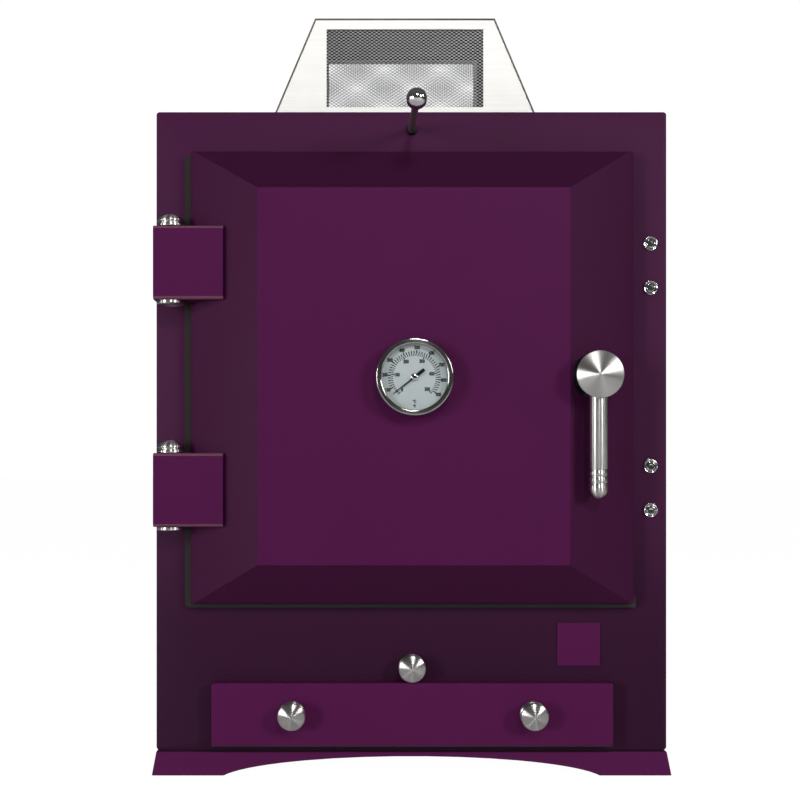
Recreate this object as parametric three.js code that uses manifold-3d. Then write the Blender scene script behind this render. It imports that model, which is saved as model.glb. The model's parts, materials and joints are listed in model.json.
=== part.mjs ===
// Insulated charcoal oven with a raised panel door, a chimney hood and an ash drawer.
// Millimetres, +Z up. The front faces -Y. While the pieces are laid out, y = 0 is the
// cabinet's front face, x = 0 its middle and z = 0 the floor. A last group shifts the
// whole oven so that the origin is the middle of its base.

import * as THREE from "three";
import { mergeVertices } from "three/addons/utils/BufferGeometryUtils.js";
import { ConvexGeometry } from "three/addons/geometries/ConvexGeometry.js";
import Module from "manifold-3d";

const wasm = await Module();
wasm.setup();

// General fits
const seatGap = 0.3;
const runGap = 0.6;
const overrun = 20;
const roundSides = 16;
const wideSides = 28;
const arcSteps = 3;
const bendShare = 0.8;
const weldDistance = 0.0001;

// Cabinet
const cabinetWidth = 664;
const cabinetHeight = 830.6;
const cabinetDepth = 600;
const sideWall = 62;
const roofWall = 73;
const rearWall = 60.7;
const hearthHeight = 208.7;
const shellWall = 2.5;
const fasciaWall = 3;
const fasciaDepth = 30;
const fasciaEdgeRadius = 4;
const cabinetLift = 1.8;

// Skirt under the cabinet
const skirtHeight = 30;
const skirtFlare = 5;
const skirtWall = 3;
const skirtFlange = 25;
const skirtFoot = 88;
const archHeight = 24;
const archSink = 8;

// Floor pan and deck
const panWall = 2.5;
const panRim = 12;
const deckThickness = 3;
const slotCount = 5;
const slotLength = 180;
const slotWidth = 16;
const slotPitch = 36;
const slotFieldStart = 160;

// Fire box
const linerWall = 3;
const chuteMargin = 15;

// Fire grate, shelf ladders and grills
const grateSideGap = 30;
const rackRearGap = 56;
const grateThickness = 10;
const grateLegHeight = 30;
const grateLegSide = 18;
const grateSlots = 11;
const grateBar = 14;
const grateStart = 60;
const ladderSheet = 2;
const ladderLedge = 14;
const ladderSteps = 4;
const ladderPitch = 85;
const ladderLift = 129.5;
const ladderTail = 15;
const ladderStart = 40;
const grillThickness = 8;
const grillEndGap = 10;
const grillGaps = 15;
const grillFrame = 14;
const grillBar = 9;

// Flue, damper and hood
const flueAxisDepth = 275;
const flueOuter = 130;
const flueWall = 2;
const flueFlange = 170;
const flueFlangeThickness = 3;
const flueStandOut = 26;
const gateWidth = 112;
const gateLength = 140;
const gateThickness = 3;
const damperDrop = 24.2;
const damperRodDiameter = 9;
const damperBallDiameter = 25.4;
const damperReach = 127;
const bushWall = 1.2;
const bushFlange = 2.5;
const bushLip = 1.2;
const bushLength = 12;
const hoodSheet = 2;
const hoodDepth = 150;
const hoodBaseWidth = 434;
const hoodTopWidth = 265;
const hoodHeight = 199;
const hoodSetback = 1;
const windowSide = 17;
const windowSill = 68.5;
const windowDrop = 15.8;
const netLap = 6;
const netThickness = 1.5;
const netColumns = 8;
const netRows = 4;
const netHoleShares = [0.72, 0.6];

// Air slide
const airKnobLift = 109.4;
const airSlideSide = 25;
const airSlideEnd = 30;
const airSlideThickness = 3;
const airRodDiameter = 8;
const airKnobStem = 9;
const guideLedge = 10;
const guideThickness = 2;

// Turned knobs
const knobDiameter = 35;
const knobLength = 30;
const knobBase = 22;
const knobBaseLength = 4;
const knobNeck = 15;
const knobNeckLength = 9;
const knobCrown = 5;

// Ash drawer
const drawerSideGap = 74.2;
const drawerFrontLift = 8.6;
const drawerFrontHeight = 82.2;
const drawerFrontDepth = 20;
const drawerFrontRadius = 4;
const drawerKnobInset = 103.8;
const drawerKnobLift = 43.6;
const drawerSideLap = 22.8;
const drawerLowerLap = 11.6;
const drawerUpperLap = 12.6;
const drawerRearGap = 170;
const drawerWall = 2;
const drawerMargin = 4;
const runnerWidth = 16;
const runnerFence = 8;
const runnerSheet = 3;
const runnerStart = 35;

// Door
const sealThickness = 7;
const doorSideLap = 14.2;
const doorEndLap = 15.5;
const doorEdge = 12;
const sideSlope = 89.2;
const topSlope = 56.4;
const bottomSlope = 52.5;
const panelRise = 44;
const sideLip = 5;
const endLip = 1;
const lipRise = 1.5;
const doorSheet = 3;
const plugDepth = 20;
const plugMargin = 8;
const panThickness = 3;
const insulationSlack = 1;
const sealWidth = 14;
const sealPeek = 6.8;
const sealSidePeek = 9.3;
const sealTailPeek = 6;
const sealTopInset = 1;

// Hinges
const pinOutset = 23.8;
const pinForward = 30;
const pinDiameter = 12;
const hingeSpread = 143.5;
const hingeDrop = 0.45;
const coverHeight = 93.4;
const coverLeft = 19.8;
const coverRight = 68.2;
const coverFront = 18;
const coverSheet = 4;
const coverBend = 5;
const coverEar = 14;
const knuckleDiameter = 26;
const knuckleWebLeft = 6;
const knuckleWebRight = 11.5;
const headDiameter = 36;
const headFlange = 3.5;
const headNeckDiameter = 31;
const headNeck = 3;
const headDome = 9.5;
const bottomDiscThickness = 4;

// Latch
const latchInset = 57.2;
const latchDrop = 1.45;
const bossDiameter = 58;
const bossFront = 61;
const hubDiameter = 46;
const hubFront = 87;
const discDiameter = 58;
const discEdge = 2.5;
const discCone = 2;
const barDiameter = 24;
const barSetting = 13;
const barLength = 152.4;
const barPocket = 12;
const grooveDepth = 1.2;
const grooveWidth = 1.8;
const grooveFirst = 18.5;
const groovePitch = 8.3;
const grooveCount = 3;
const spindleDiameter = 12;
const spindlePocket = 9;
const tongueThickness = 6;
const tongueWidth = 18;
const tongueKeepClearance = 4;

// Screws on the right jamb
const screwOutset = 26.5;
const screwRise = 2.35;
const screwPairSpread = 144.45;
const screwSpread = 28.7;
const screwShank = 6;
const screwLength = 18;
const cupDiameter = 19;
const cupRecess = 15.3;
const cupHeight = 2.4;
const cupFloor = 0.8;
const capDiameter = 9.8;
const capHeight = 3.4;
const socketAcross = 5;
const socketDepth = 2.2;
const jambPlateWidth = 30;
const jambPlateThickness = 6;
const jambPlateMargin = 20;

// Thermometer
const gaugeDrop = 2.3;
const bezelDiameter = 96;
const bezelDepth = 22;
const bezelLip = 5;
const bezelLipThickness = 2;
const caseWall = 2;
const dialThickness = 1;
const dialDepth = 11;
const glassDepth = 4;
const glassThickness = 2;
const needleLength = 36;
const needleTail = 16;
const needleWidth = 4.5;
const needleTipWidth = 1.2;
const needleThickness = 1;
const needleLift = 2;
const needleHub = 9;
const needleHubThickness = 1.5;
const needleShaft = 3;
const needleShaftBore = 4.2;
const needleRestDegrees = 218;
const stemDiameter = 6;
const stemReach = 55;

// Bare square plate
const plateSide = 56;
const plateInset = 115;
const plateLift = 47.4;
const plateThickness = 1.5;

// Places worked out from the sizes above
const shellBottom = skirtHeight + cabinetLift;
const shellTop = shellBottom + cabinetHeight;
const halfCabinet = cabinetWidth / 2;
const archWidth = cabinetWidth - 2 * skirtFoot;
const archRise = archHeight + archSink;
const archTurn = Math.asin(archSink / archRise);
const archReach = archWidth / 2 / Math.cos(archTurn);
const cavityWidth = cabinetWidth - 2 * sideWall;
const cavityBottom = shellBottom + hearthHeight;
const cavityTop = shellTop - roofWall;
const cavityDepth = cabinetDepth - rearWall - fasciaWall - seatGap;
const chuteWidth = slotLength + 2 * chuteMargin;
const grateWidth = cavityWidth - 2 * grateSideGap;
const grateDepth = cavityDepth - grateStart - rackRearGap;
const ladderDepth = cavityDepth - ladderStart - rackRearGap;
const grillDepth = ladderDepth - 2 * grillEndGap;
const lowestLedge = cavityBottom + ladderLift;
const damperHeight = shellTop - damperDrop;
const hoodFrontDepth = flueAxisDepth - hoodDepth / 2;
const windowWidth = hoodTopWidth - 2 * windowSide;
const windowHeight = hoodHeight - windowDrop - windowSill;
const airKnobHeight = shellBottom + airKnobLift;
const airSlideWidth = slotLength + 2 * airSlideSide;
const airSlideLength = slotCount * slotPitch + 2 * airSlideEnd;
const airSlideStart = slotFieldStart - airSlideEnd;
const drawerFrontWidth = cabinetWidth - 2 * drawerSideGap;
const drawerFrontBottom = shellBottom + drawerFrontLift;
const drawerFrontTop = drawerFrontBottom + drawerFrontHeight;
const drawerKnobOffset = drawerFrontWidth / 2 - drawerKnobInset;
const drawerKnobHeight = drawerFrontBottom + drawerKnobLift;
const drawerWidth = drawerFrontWidth - 2 * drawerSideLap;
const drawerBottom = drawerFrontBottom + drawerLowerLap;
const drawerTop = drawerFrontTop - drawerUpperLap;
const drawerDepth = cabinetDepth - drawerRearGap;
const deckBottom = airKnobHeight + airRodDiameter / 2 + seatGap;
const deckTop = deckBottom + deckThickness;
const slideTop = deckBottom - seatGap;
const slideBottom = slideTop - airSlideThickness;
const doorBack = -sealThickness;
const doorEdgeFront = doorBack - doorEdge;
const panelFront = doorEdgeFront - panelRise;
const doorWidth = cavityWidth + 2 * doorSideLap;
const doorBottom = cavityBottom - doorEndLap;
const doorTop = cavityTop + doorEndLap;
const doorMiddle = (doorBottom + doorTop) / 2;
const panelWidth = doorWidth - 2 * sideSlope;
const panelBottom = doorBottom + bottomSlope;
const panelTop = doorTop - topSlope;
const pinAxis = doorWidth / 2 + pinOutset;
const hingeCentre = doorMiddle - hingeDrop;
const latchAxis = doorWidth / 2 - latchInset;
const latchHeight = doorMiddle - latchDrop;
const barForward = bossFront + barSetting;
const screwAxis = doorWidth / 2 + screwOutset;
const gaugeHeight = (panelBottom + panelTop) / 2 - gaugeDrop;
const plateAxis = halfCabinet - plateInset;
const plateHeight = drawerFrontTop + plateLift;
const plugWidth = cavityWidth - 2 * plugMargin;
const plugBottom = cavityBottom + plugMargin;
const plugTop = cavityTop - plugMargin;
const skirtRear = cabinetDepth + skirtFlare;
const bushShank = damperRodDiameter + 2 * seatGap + 2 * bushWall;
const bushCollar = bushShank + 2 * bushLip;
const frontReach = damperReach + damperBallDiameter / 2;

// Finishes, each a colour, a roughness and a metalness
const finishes = {
  plumPaint: [0x4e1c44, 0.55, 0.1],
  darkPlumPaint: [0x45203d, 0.6, 0.1],
  stainless: [0xc9c9c6, 0.3, 1],
  polished: [0xdadada, 0.1, 1],
  sheetSteel: [0x8b8d8f, 0.5, 0.9],
  castIron: [0x2b2b2d, 0.8, 0.5],
  rope: [0x8c8a85, 0.95, 0],
  wool: [0xb9a77c, 1, 0],
  dialFace: [0xd9dcdc, 0.5, 0],
  needleBlack: [0x121212, 0.5, 0],
  glass: [0xf4f8f8, 0.05, 0],
  blackSteel: [0x26262a, 0.6, 0.6],
};

const oven = new THREE.Group();

// Adds one named piece with its finish to a group.
function addPiece(name, geometry, finish, group = oven) {
  const [color, roughness, metalness] = finishes[finish];
  const material = new THREE.MeshStandardMaterial({ color, roughness, metalness });
  const mesh = new THREE.Mesh(geometryOf(solidOf(geometry)), material);
  mesh.name = name;
  group.add(mesh);
  return mesh;
}

// Merged copy of a geometry that holds only positions, with its faces pointing out.
function closedCopy(geometry) {
  const copy = geometry.clone();
  copy.deleteAttribute("normal");
  copy.deleteAttribute("uv");
  copy.clearGroups();
  const merged = mergeVertices(copy, weldDistance);
  const place = merged.attributes.position.array;
  const order = Array.from(merged.index.array);
  let volume = 0;
  for (let i = 0; i < order.length; i += 3) {
    const [a, b, c] = [0, 1, 2].map((k) => new THREE.Vector3().fromArray(place, 3 * order[i + k]));
    volume += a.dot(b.cross(c));
  }
  const kept = [];
  for (let i = 0; i < order.length; i += 3) {
    const [a, b, c] = order.slice(i, i + 3);
    if (a === b || b === c || a === c) continue;
    kept.push(...(volume < 0 ? [a, c, b] : [a, b, c]));
  }
  return { place: new Float32Array(place), order: new Uint32Array(kept) };
}

// A closed geometry as a solid that can be joined and cut.
function solidOf(geometry) {
  const { place, order } = closedCopy(geometry);
  return new wasm.Manifold(new wasm.Mesh({ numProp: 3, vertProperties: place, triVerts: order }));
}

// A solid back as a geometry.
function geometryOf(solid) {
  const mesh = solid.getMesh();
  const geometry = new THREE.BufferGeometry();
  geometry.setAttribute("position", new THREE.BufferAttribute(new Float32Array(mesh.vertProperties), 3));
  geometry.setIndex(new THREE.BufferAttribute(new Uint32Array(mesh.triVerts), 1));
  return geometry;
}

function cutFrom(base, cuts) {
  const carved = cuts.reduce((solid, cut) => solid.subtract(solidOf(cut)), solidOf(base));
  return geometryOf(carved);
}

function joined(pieces) {
  const [first, ...others] = pieces.map(solidOf);
  return geometryOf(others.reduce((solid, other) => solid.add(other), first));
}

// A box between two corners.
function box(x0, x1, y0, y1, z0, z1) {
  const geometry = new THREE.BoxGeometry(x1 - x0, y1 - y0, z1 - z0);
  return geometry.translate((x0 + x1) / 2, (y0 + y1) / 2, (z0 + z1) / 2);
}

// A cylinder along Y between two depths.
function rodAlongY(diameter, x, z, y0, y1, sides = roundSides) {
  const geometry = new THREE.CylinderGeometry(diameter / 2, diameter / 2, y1 - y0, sides);
  return geometry.translate(x, (y0 + y1) / 2, z);
}

// A cylinder along Z between two heights.
function rodAlongZ(diameter, x, y, z0, z1, sides = roundSides) {
  const geometry = new THREE.CylinderGeometry(diameter / 2, diameter / 2, z1 - z0, sides);
  return geometry.rotateX(Math.PI / 2).translate(x, y, (z0 + z1) / 2);
}

// An outline drawn in x and z, thickened from one depth to another.
function plateAlongY(shape, y0, y1) {
  const geometry = new THREE.ExtrudeGeometry(
    shape, { depth: y1 - y0, bevelEnabled: false, curveSegments: arcSteps },
  );
  return geometry.rotateX(Math.PI / 2).translate(0, y1, 0);
}

// An outline drawn in x and y, thickened from one height to another.
function plateAlongZ(shape, z0, z1) {
  const geometry = new THREE.ExtrudeGeometry(
    shape, { depth: z1 - z0, bevelEnabled: false, curveSegments: arcSteps },
  );
  return geometry.translate(0, 0, z0);
}

// A rectangle outline with round corners.
function roundedOutline(x0, x1, z0, z1, radius) {
  const shape = new THREE.Shape();
  shape.absarc(x1 - radius, z0 + radius, radius, -Math.PI / 2, 0);
  shape.absarc(x1 - radius, z1 - radius, radius, 0, Math.PI / 2);
  shape.absarc(x0 + radius, z1 - radius, radius, Math.PI / 2, Math.PI);
  shape.absarc(x0 + radius, z0 + radius, radius, Math.PI, 1.5 * Math.PI);
  return shape;
}

function polygonOutline(points) {
  return new THREE.Shape(points.map(([x, y]) => new THREE.Vector2(x, y)));
}

// A slab with round outer corners and a rounded front edge, its front at y0.
function cushionedSlab(x0, x1, z0, z1, radius, y0, y1) {
  const bend = radius * bendShare;
  const outline = roundedOutline(x0, x1, z0, z1, radius);
  const geometry = new THREE.ExtrudeGeometry(outline, {
    depth: y1 - y0,
    bevelEnabled: true,
    bevelThickness: bend,
    bevelSize: bend,
    bevelOffset: -bend,
    bevelSegments: arcSteps - 1,
    curveSegments: arcSteps,
  });
  const slab = geometry.rotateX(Math.PI / 2).translate(0, y1 + bend, 0);
  const behind = box(x0 - overrun, x1 + overrun, y1, y1 + 2 * radius + overrun, z0 - overrun, z1 + overrun);
  return cutFrom(slab, [behind]);
}

// A turned piece about a Y axis. Each point is a radius and how far it stands forward.
function turnedForward(points, x, y, z, sides = roundSides) {
  const profile = points.map(([radius, forward]) => new THREE.Vector2(radius, -forward));
  return new THREE.LatheGeometry(profile, sides).translate(x, y, z);
}

// Skirt: four flared walls with an inward flange on top and an arch in front.
function makeSkirt() {
  const ring = (inset, z0, z1) => {
    const corners = [];
    for (const [z, grow] of [[z0, skirtFlare], [z1, 0]]) {
      for (const x of [-halfCabinet - grow + inset, halfCabinet + grow - inset]) {
        for (const y of [-grow + inset, cabinetDepth + grow - inset]) {
          corners.push(new THREE.Vector3(x, y, z));
        }
      }
    }
    return new ConvexGeometry(corners);
  };
  const hollow = ring(skirtWall, -overrun, skirtHeight - skirtWall);
  const opening = box(
    -halfCabinet + skirtFlange, halfCabinet - skirtFlange,
    skirtFlange, cabinetDepth - skirtFlange,
    0, skirtHeight + overrun,
  );
  const arch = new THREE.Shape();
  arch.moveTo(archWidth / 2, -overrun);
  arch.lineTo(archWidth / 2, 0);
  arch.absellipse(0, -archSink, archReach, archRise, archTurn, Math.PI - archTurn, false, 0);
  arch.lineTo(-archWidth / 2, -overrun);
  const archCut = new THREE.ExtrudeGeometry(
    arch, { depth: 2 * overrun, bevelEnabled: false, curveSegments: roundSides },
  );
  archCut.rotateX(Math.PI / 2).translate(0, overrun, 0);
  addPiece("skirt", cutFrom(ring(0, 0, skirtHeight), [hollow, opening, archCut]), "plumPaint");
}

// Floor pan: a shallow tray just inside the cabinet walls.
function makeFloorPan() {
  const side = halfCabinet - fasciaWall - seatGap;
  const front = fasciaWall + seatGap;
  const rear = cabinetDepth - shellWall - 2 * seatGap;
  const bottom = skirtHeight + seatGap;
  const rim = bottom + panWall + panRim;
  const tray = box(-side, side, front, rear, bottom, rim);
  const hollow = box(
    -side + panWall, side - panWall, front + panWall, rear - panWall, bottom + panWall, rim + overrun,
  );
  addPiece("floor_pan", cutFrom(tray, [hollow]), "sheetSteel");
}

// Fascia: a folded front with the door, drawer, air and damper openings.
function makeFascia() {
  const slab = cushionedSlab(
    -halfCabinet, halfCabinet, shellBottom, shellTop, fasciaEdgeRadius, 0, fasciaDepth,
  );
  const pocket = box(
    -halfCabinet + fasciaWall, halfCabinet - fasciaWall,
    fasciaWall, fasciaDepth + overrun,
    shellBottom - overrun, shellTop - fasciaWall,
  );
  const through = (x0, x1, z0, z1) => box(x0, x1, -overrun, fasciaDepth, z0, z1);
  const screwHoles = screwHeights().map(
    (z) => rodAlongY(screwShank + 2 * seatGap, screwAxis, z, -overrun, fasciaDepth),
  );
  const cuts = [
    pocket,
    through(-cavityWidth / 2, cavityWidth / 2, cavityBottom, cavityTop),
    through(
      -drawerWidth / 2 - drawerMargin, drawerWidth / 2 + drawerMargin,
      drawerBottom - drawerMargin, drawerTop + drawerMargin,
    ),
    rodAlongY(airRodDiameter + 2 * runGap, 0, airKnobHeight, -overrun, fasciaDepth),
    rodAlongY(bushShank + 2 * seatGap, 0, damperHeight, -overrun, fasciaDepth),
    ...screwHoles,
  ];
  addPiece("fascia", cutFrom(slab, cuts), "darkPlumPaint");
}

// Wrap: both sides and the roof folded from one sheet, with the flue hole.
function makeWrap() {
  const y0 = fasciaDepth + seatGap;
  const outer = box(-halfCabinet, halfCabinet, y0, cabinetDepth, shellBottom, shellTop);
  const inner = box(
    -halfCabinet + shellWall, halfCabinet - shellWall,
    y0 - overrun, cabinetDepth + overrun,
    shellBottom - overrun, shellTop - shellWall,
  );
  const flueHole = rodAlongZ(
    flueOuter + 2 * seatGap, 0, flueAxisDepth, damperHeight, shellTop + overrun, wideSides,
  );
  addPiece("wrap", cutFrom(outer, [inner, flueHole]), "darkPlumPaint");
}

function makeBackPanel() {
  const side = halfCabinet - shellWall - seatGap;
  const y1 = cabinetDepth - seatGap;
  addPiece(
    "back_panel",
    box(-side, side, y1 - shellWall, y1, shellBottom, shellTop - shellWall - seatGap),
    "darkPlumPaint",
  );
}

// Deck: carries the insulation and fire box, has the air slots and guides the air slide.
function makeDeck() {
  const side = halfCabinet - shellWall - seatGap;
  const y0 = fasciaDepth + seatGap;
  const y1 = cabinetDepth - shellWall - 2 * seatGap;
  const guide = (sign) => {
    const inner = airSlideWidth / 2 + runGap;
    const low = slideBottom - seatGap - guideThickness;
    const wall = box(inner, inner + guideThickness, y0, y1, low, deckBottom + deckThickness / 2);
    const ledge = box(inner - guideLedge, inner + guideThickness, y0, y1, low, low + guideThickness);
    const channel = joined([wall, ledge]);
    return sign > 0 ? channel : channel.rotateZ(Math.PI).translate(0, y0 + y1, 0);
  };
  const plate = joined([box(-side, side, y0, y1, deckBottom, deckTop), guide(1), guide(-1)]);
  addPiece("deck", cutFrom(plate, airSlots(0)), "sheetSteel");
}

// Air slots of the deck, or of the slide when shifted.
function airSlots(shift) {
  const slots = [];
  for (let i = 0; i < slotCount; i += 1) {
    const y0 = slotFieldStart + i * slotPitch + shift;
    const slot = box(
      -slotLength / 2, slotLength / 2, y0, y0 + slotWidth, airKnobHeight - overrun, airKnobHeight + overrun,
    );
    slots.push(slot);
  }
  return slots;
}

// Fire box: an open-fronted steel box with an ash chute below and a flue hole above.
function makeFireBox() {
  const side = cavityWidth / 2;
  const y0 = fasciaWall + seatGap;
  const y1 = y0 + cavityDepth;
  const outer = box(
    -side - linerWall,
    side + linerWall,
    y0,
    y1 + linerWall,
    cavityBottom - linerWall,
    cavityTop + linerWall,
  );
  const inner = box(-side, side, y0 - overrun, y1, cavityBottom, cavityTop);
  const chute = (grow, z0, z1) => box(
    -chuteWidth / 2 - grow, chuteWidth / 2 + grow,
    slotFieldStart - linerWall - grow, slotFieldStart + slotCount * slotPitch - grow / 2,
    z0, z1,
  );
  const neck = chute(linerWall, deckTop + seatGap, cavityBottom - linerWall / 2);
  const flueHole = rodAlongZ(
    flueOuter - 2 * flueWall, 0, flueAxisDepth, cavityTop - overrun, cavityTop + overrun, wideSides,
  );
  const walls = joined([outer, neck]);
  addPiece(
    "fire_box",
    cutFrom(walls, [inner, chute(0, deckTop - overrun, cavityBottom + overrun), flueHole]),
    "sheetSteel",
  );
}

// Insulation: fills the space between the fire box and the cabinet.
function makeInsulation() {
  const side = halfCabinet - shellWall - insulationSlack;
  const y0 = fasciaDepth + insulationSlack;
  const y1 = cabinetDepth - shellWall - seatGap - insulationSlack;
  const grow = linerWall + seatGap;
  const bulk = box(-side, side, y0, y1, deckTop + seatGap, shellTop - shellWall - insulationSlack);
  const room = box(
    -cavityWidth / 2 - grow, cavityWidth / 2 + grow,
    -overrun, fasciaWall + seatGap + cavityDepth + grow,
    cavityBottom - grow, cavityTop + grow,
  );
  const chuteGrow = linerWall + insulationSlack;
  const chuteRoom = box(
    -chuteWidth / 2 - chuteGrow, chuteWidth / 2 + chuteGrow,
    slotFieldStart - linerWall - chuteGrow, slotFieldStart + slotCount * slotPitch + chuteGrow,
    deckTop - overrun, cavityBottom,
  );
  const flueRoom = rodAlongZ(
    flueFlange + 2 * insulationSlack, 0, flueAxisDepth, cavityTop, shellTop + overrun, wideSides,
  );
  const gateRoom = box(
    -gateWidth / 2 - insulationSlack, gateWidth / 2 + insulationSlack,
    -overrun, flueAxisDepth,
    cavityTop + linerWall, shellTop + overrun,
  );
  addPiece("insulation", cutFrom(bulk, [room, chuteRoom, flueRoom, gateRoom]), "wool");
}

// Charcoal grate: a slotted cast plate on four legs.
function makeGrate() {
  const side = grateWidth / 2;
  const legTop = cavityBottom + seatGap + grateLegHeight;
  const plate = box(-side, side, grateStart, grateStart + grateDepth, legTop, legTop + grateThickness);
  const legs = [];
  for (const x of [-side, side - grateLegSide]) {
    for (const y of [grateStart, grateStart + grateDepth - grateLegSide]) {
      legs.push(
        box(x, x + grateLegSide, y, y + grateLegSide, cavityBottom + seatGap, legTop + grateThickness / 2),
      );
    }
  }
  const pitch = (grateDepth - grateBar) / grateSlots;
  const slots = [];
  for (let i = 0; i < grateSlots; i += 1) {
    const y = grateStart + grateBar + i * pitch;
    const slot = box(
      -side + grateLegSide, side - grateLegSide, y, y + pitch - grateBar, legTop - overrun, legTop + overrun,
    );
    slots.push(slot);
  }
  addPiece("charcoal_grate", cutFrom(joined([plate, ...legs]), slots), "castIron");
}

// Shelf ladder: a side sheet folded into ledges that carry the grills.
function makeLadder(name, sign) {
  const wall = cavityWidth / 2 - seatGap;
  const bottom = lowestLedge - ladderTail;
  const top = lowestLedge + (ladderSteps - 1) * ladderPitch + ladderTail;
  const sheet = box(wall - ladderSheet, wall, ladderStart, ladderStart + ladderDepth, bottom, top);
  const parts = [sheet];
  for (let i = 0; i < ladderSteps; i += 1) {
    const z = lowestLedge + i * ladderPitch;
    parts.push(box(wall - ladderLedge, wall, ladderStart, ladderStart + ladderDepth, z - ladderSheet, z));
  }
  const ladder = joined(parts);
  const turned = sign > 0 ? ladder : ladder.rotateZ(Math.PI).translate(0, 2 * ladderStart + ladderDepth, 0);
  addPiece(name, turned, "stainless");
}

// Grill: a flat frame filled with bars that run front to back.
function makeGrill(name, step) {
  const side = cavityWidth / 2 - ladderSheet - 2 * seatGap - runGap;
  const low = lowestLedge + step * ladderPitch + seatGap;
  const y0 = ladderStart + (ladderDepth - grillDepth) / 2;
  const outline = roundedOutline(-side, side, y0, y0 + grillDepth, grillFrame / 2);
  const frame = plateAlongZ(outline, low, low + grillThickness);
  const pitch = (2 * side - 2 * grillFrame + grillBar) / grillGaps;
  const gaps = [];
  for (let i = 0; i < grillGaps; i += 1) {
    const x0 = -side + grillFrame + i * pitch;
    const x1 = x0 + pitch - grillBar;
    gaps.push(box(x0, x1, y0 + grillFrame, y0 + grillDepth - grillFrame, low - overrun, low + overrun));
  }
  addPiece(name, cutFrom(frame, gaps), "castIron");
}

// Flue pipe: a flanged tube with a slot in front for the damper gate.
function makeFluePipe() {
  const bottom = cavityTop + linerWall + seatGap;
  const top = shellTop + flueStandOut;
  const tube = rodAlongZ(flueOuter, 0, flueAxisDepth, bottom, top, wideSides);
  const flange = rodAlongZ(flueFlange, 0, flueAxisDepth, bottom, bottom + flueFlangeThickness, wideSides);
  const bore = rodAlongZ(
    flueOuter - 2 * flueWall, 0, flueAxisDepth, bottom - overrun, top + overrun, wideSides,
  );
  const slot = box(
    -gateWidth / 2 - runGap, gateWidth / 2 + runGap,
    flueAxisDepth - flueOuter, flueAxisDepth,
    damperHeight - gateThickness / 2 - runGap, damperHeight + gateThickness / 2 + runGap,
  );
  addPiece("flue_pipe", cutFrom(joined([tube, flange]), [bore, slot]), "sheetSteel");
}

// Damper: a round-ended gate plate on a rod that ends in a ball and slides in a bush.
function makeDamper() {
  const gateEnd = flueAxisDepth - flueOuter / 2 - seatGap;
  const gateStart = gateEnd - gateLength;
  const half = gateWidth / 2;
  const outline = new THREE.Shape();
  outline.moveTo(-half, gateStart);
  outline.lineTo(half, gateStart);
  outline.absarc(0, gateEnd - half, half, 0, Math.PI);
  const gate = new THREE.ExtrudeGeometry(
    outline, { depth: gateThickness, bevelEnabled: false, curveSegments: roundSides },
  );
  gate.translate(0, 0, damperHeight - gateThickness / 2);
  addPiece("damper_gate", gate, "sheetSteel");
  const ball = new THREE.SphereGeometry(damperBallDiameter / 2, roundSides, roundSides / 2);
  ball.rotateX(Math.PI / 2).translate(0, -damperReach, damperHeight);
  const rodFront = -damperReach + damperBallDiameter / 2 - damperRodDiameter / 2;
  const rod = rodAlongY(damperRodDiameter, 0, damperHeight, rodFront, gateStart - seatGap);
  const socket = rodAlongY(damperRodDiameter + 2 * seatGap, 0, damperHeight, rodFront - seatGap, 0);
  addPiece("damper_ball", cutFrom(ball, [socket]), "polished");
  addPiece("damper_rod", rod, "stainless");
  const bore = rodAlongY(damperRodDiameter + 2 * seatGap, 0, damperHeight, -overrun, bushLength + overrun);
  const collar = rodAlongY(bushCollar, 0, damperHeight, -seatGap - bushFlange, -seatGap);
  const shank = rodAlongY(bushShank, 0, damperHeight, -seatGap - bushFlange / 2, bushLength);
  addPiece("damper_bush", cutFrom(joined([collar, shank]), [bore]), "stainless");
}

// Hood: a folded cover around two window plates, each backed by a wire net.
function makeHood() {
  const bottom = shellTop + seatGap;
  const top = bottom + hoodHeight;
  const lean = (hoodBaseWidth - hoodTopWidth) / 2 / hoodHeight;
  const halfAt = (z, inset) => hoodBaseWidth / 2 - inset * Math.hypot(1, lean) - (z - bottom) * lean;
  const trapezoid = (inset, z0, z1) => polygonOutline([
    [-halfAt(z0, inset), z0],
    [halfAt(z0, inset), z0],
    [halfAt(z1, inset), z1],
    [-halfAt(z1, inset), z1],
  ]);
  const windowTop = top - windowDrop;
  const windowBottom = windowTop - windowHeight;
  const opening = box(
    -windowWidth / 2, windowWidth / 2,
    hoodFrontDepth - overrun, hoodFrontDepth + hoodDepth + overrun,
    windowBottom, windowTop,
  );
  const rearEnd = hoodFrontDepth + hoodDepth;
  const cover = plateAlongY(trapezoid(0, bottom, top), hoodFrontDepth, rearEnd);
  const hollow = plateAlongY(
    trapezoid(hoodSheet, bottom - overrun, top - hoodSheet),
    hoodFrontDepth - overrun, rearEnd + overrun,
  );
  addPiece("hood_cover", cutFrom(cover, [hollow]), "stainless");
  const hoodInset = hoodSheet + seatGap;
  const plateStart = hoodFrontDepth + hoodSetback;
  const plateEnd = rearEnd - hoodSetback;
  const plateOutline = trapezoid(hoodInset, bottom, top - hoodInset);
  const front = plateAlongY(plateOutline, plateStart, plateStart + hoodSheet);
  const rear = plateAlongY(plateOutline, plateEnd - hoodSheet, plateEnd);
  addPiece("hood_front", cutFrom(front, [opening]), "stainless");
  addPiece("hood_rear", cutFrom(rear, [opening]), "stainless");
  const netStart = plateStart + hoodSheet + seatGap;
  const netEnd = plateEnd - hoodSheet - seatGap;
  addPiece("net_front", makeNet(windowBottom, windowTop, netStart), "blackSteel");
  addPiece("net_rear", makeNet(windowBottom, windowTop, netEnd - netThickness), "blackSteel");
}

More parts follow.
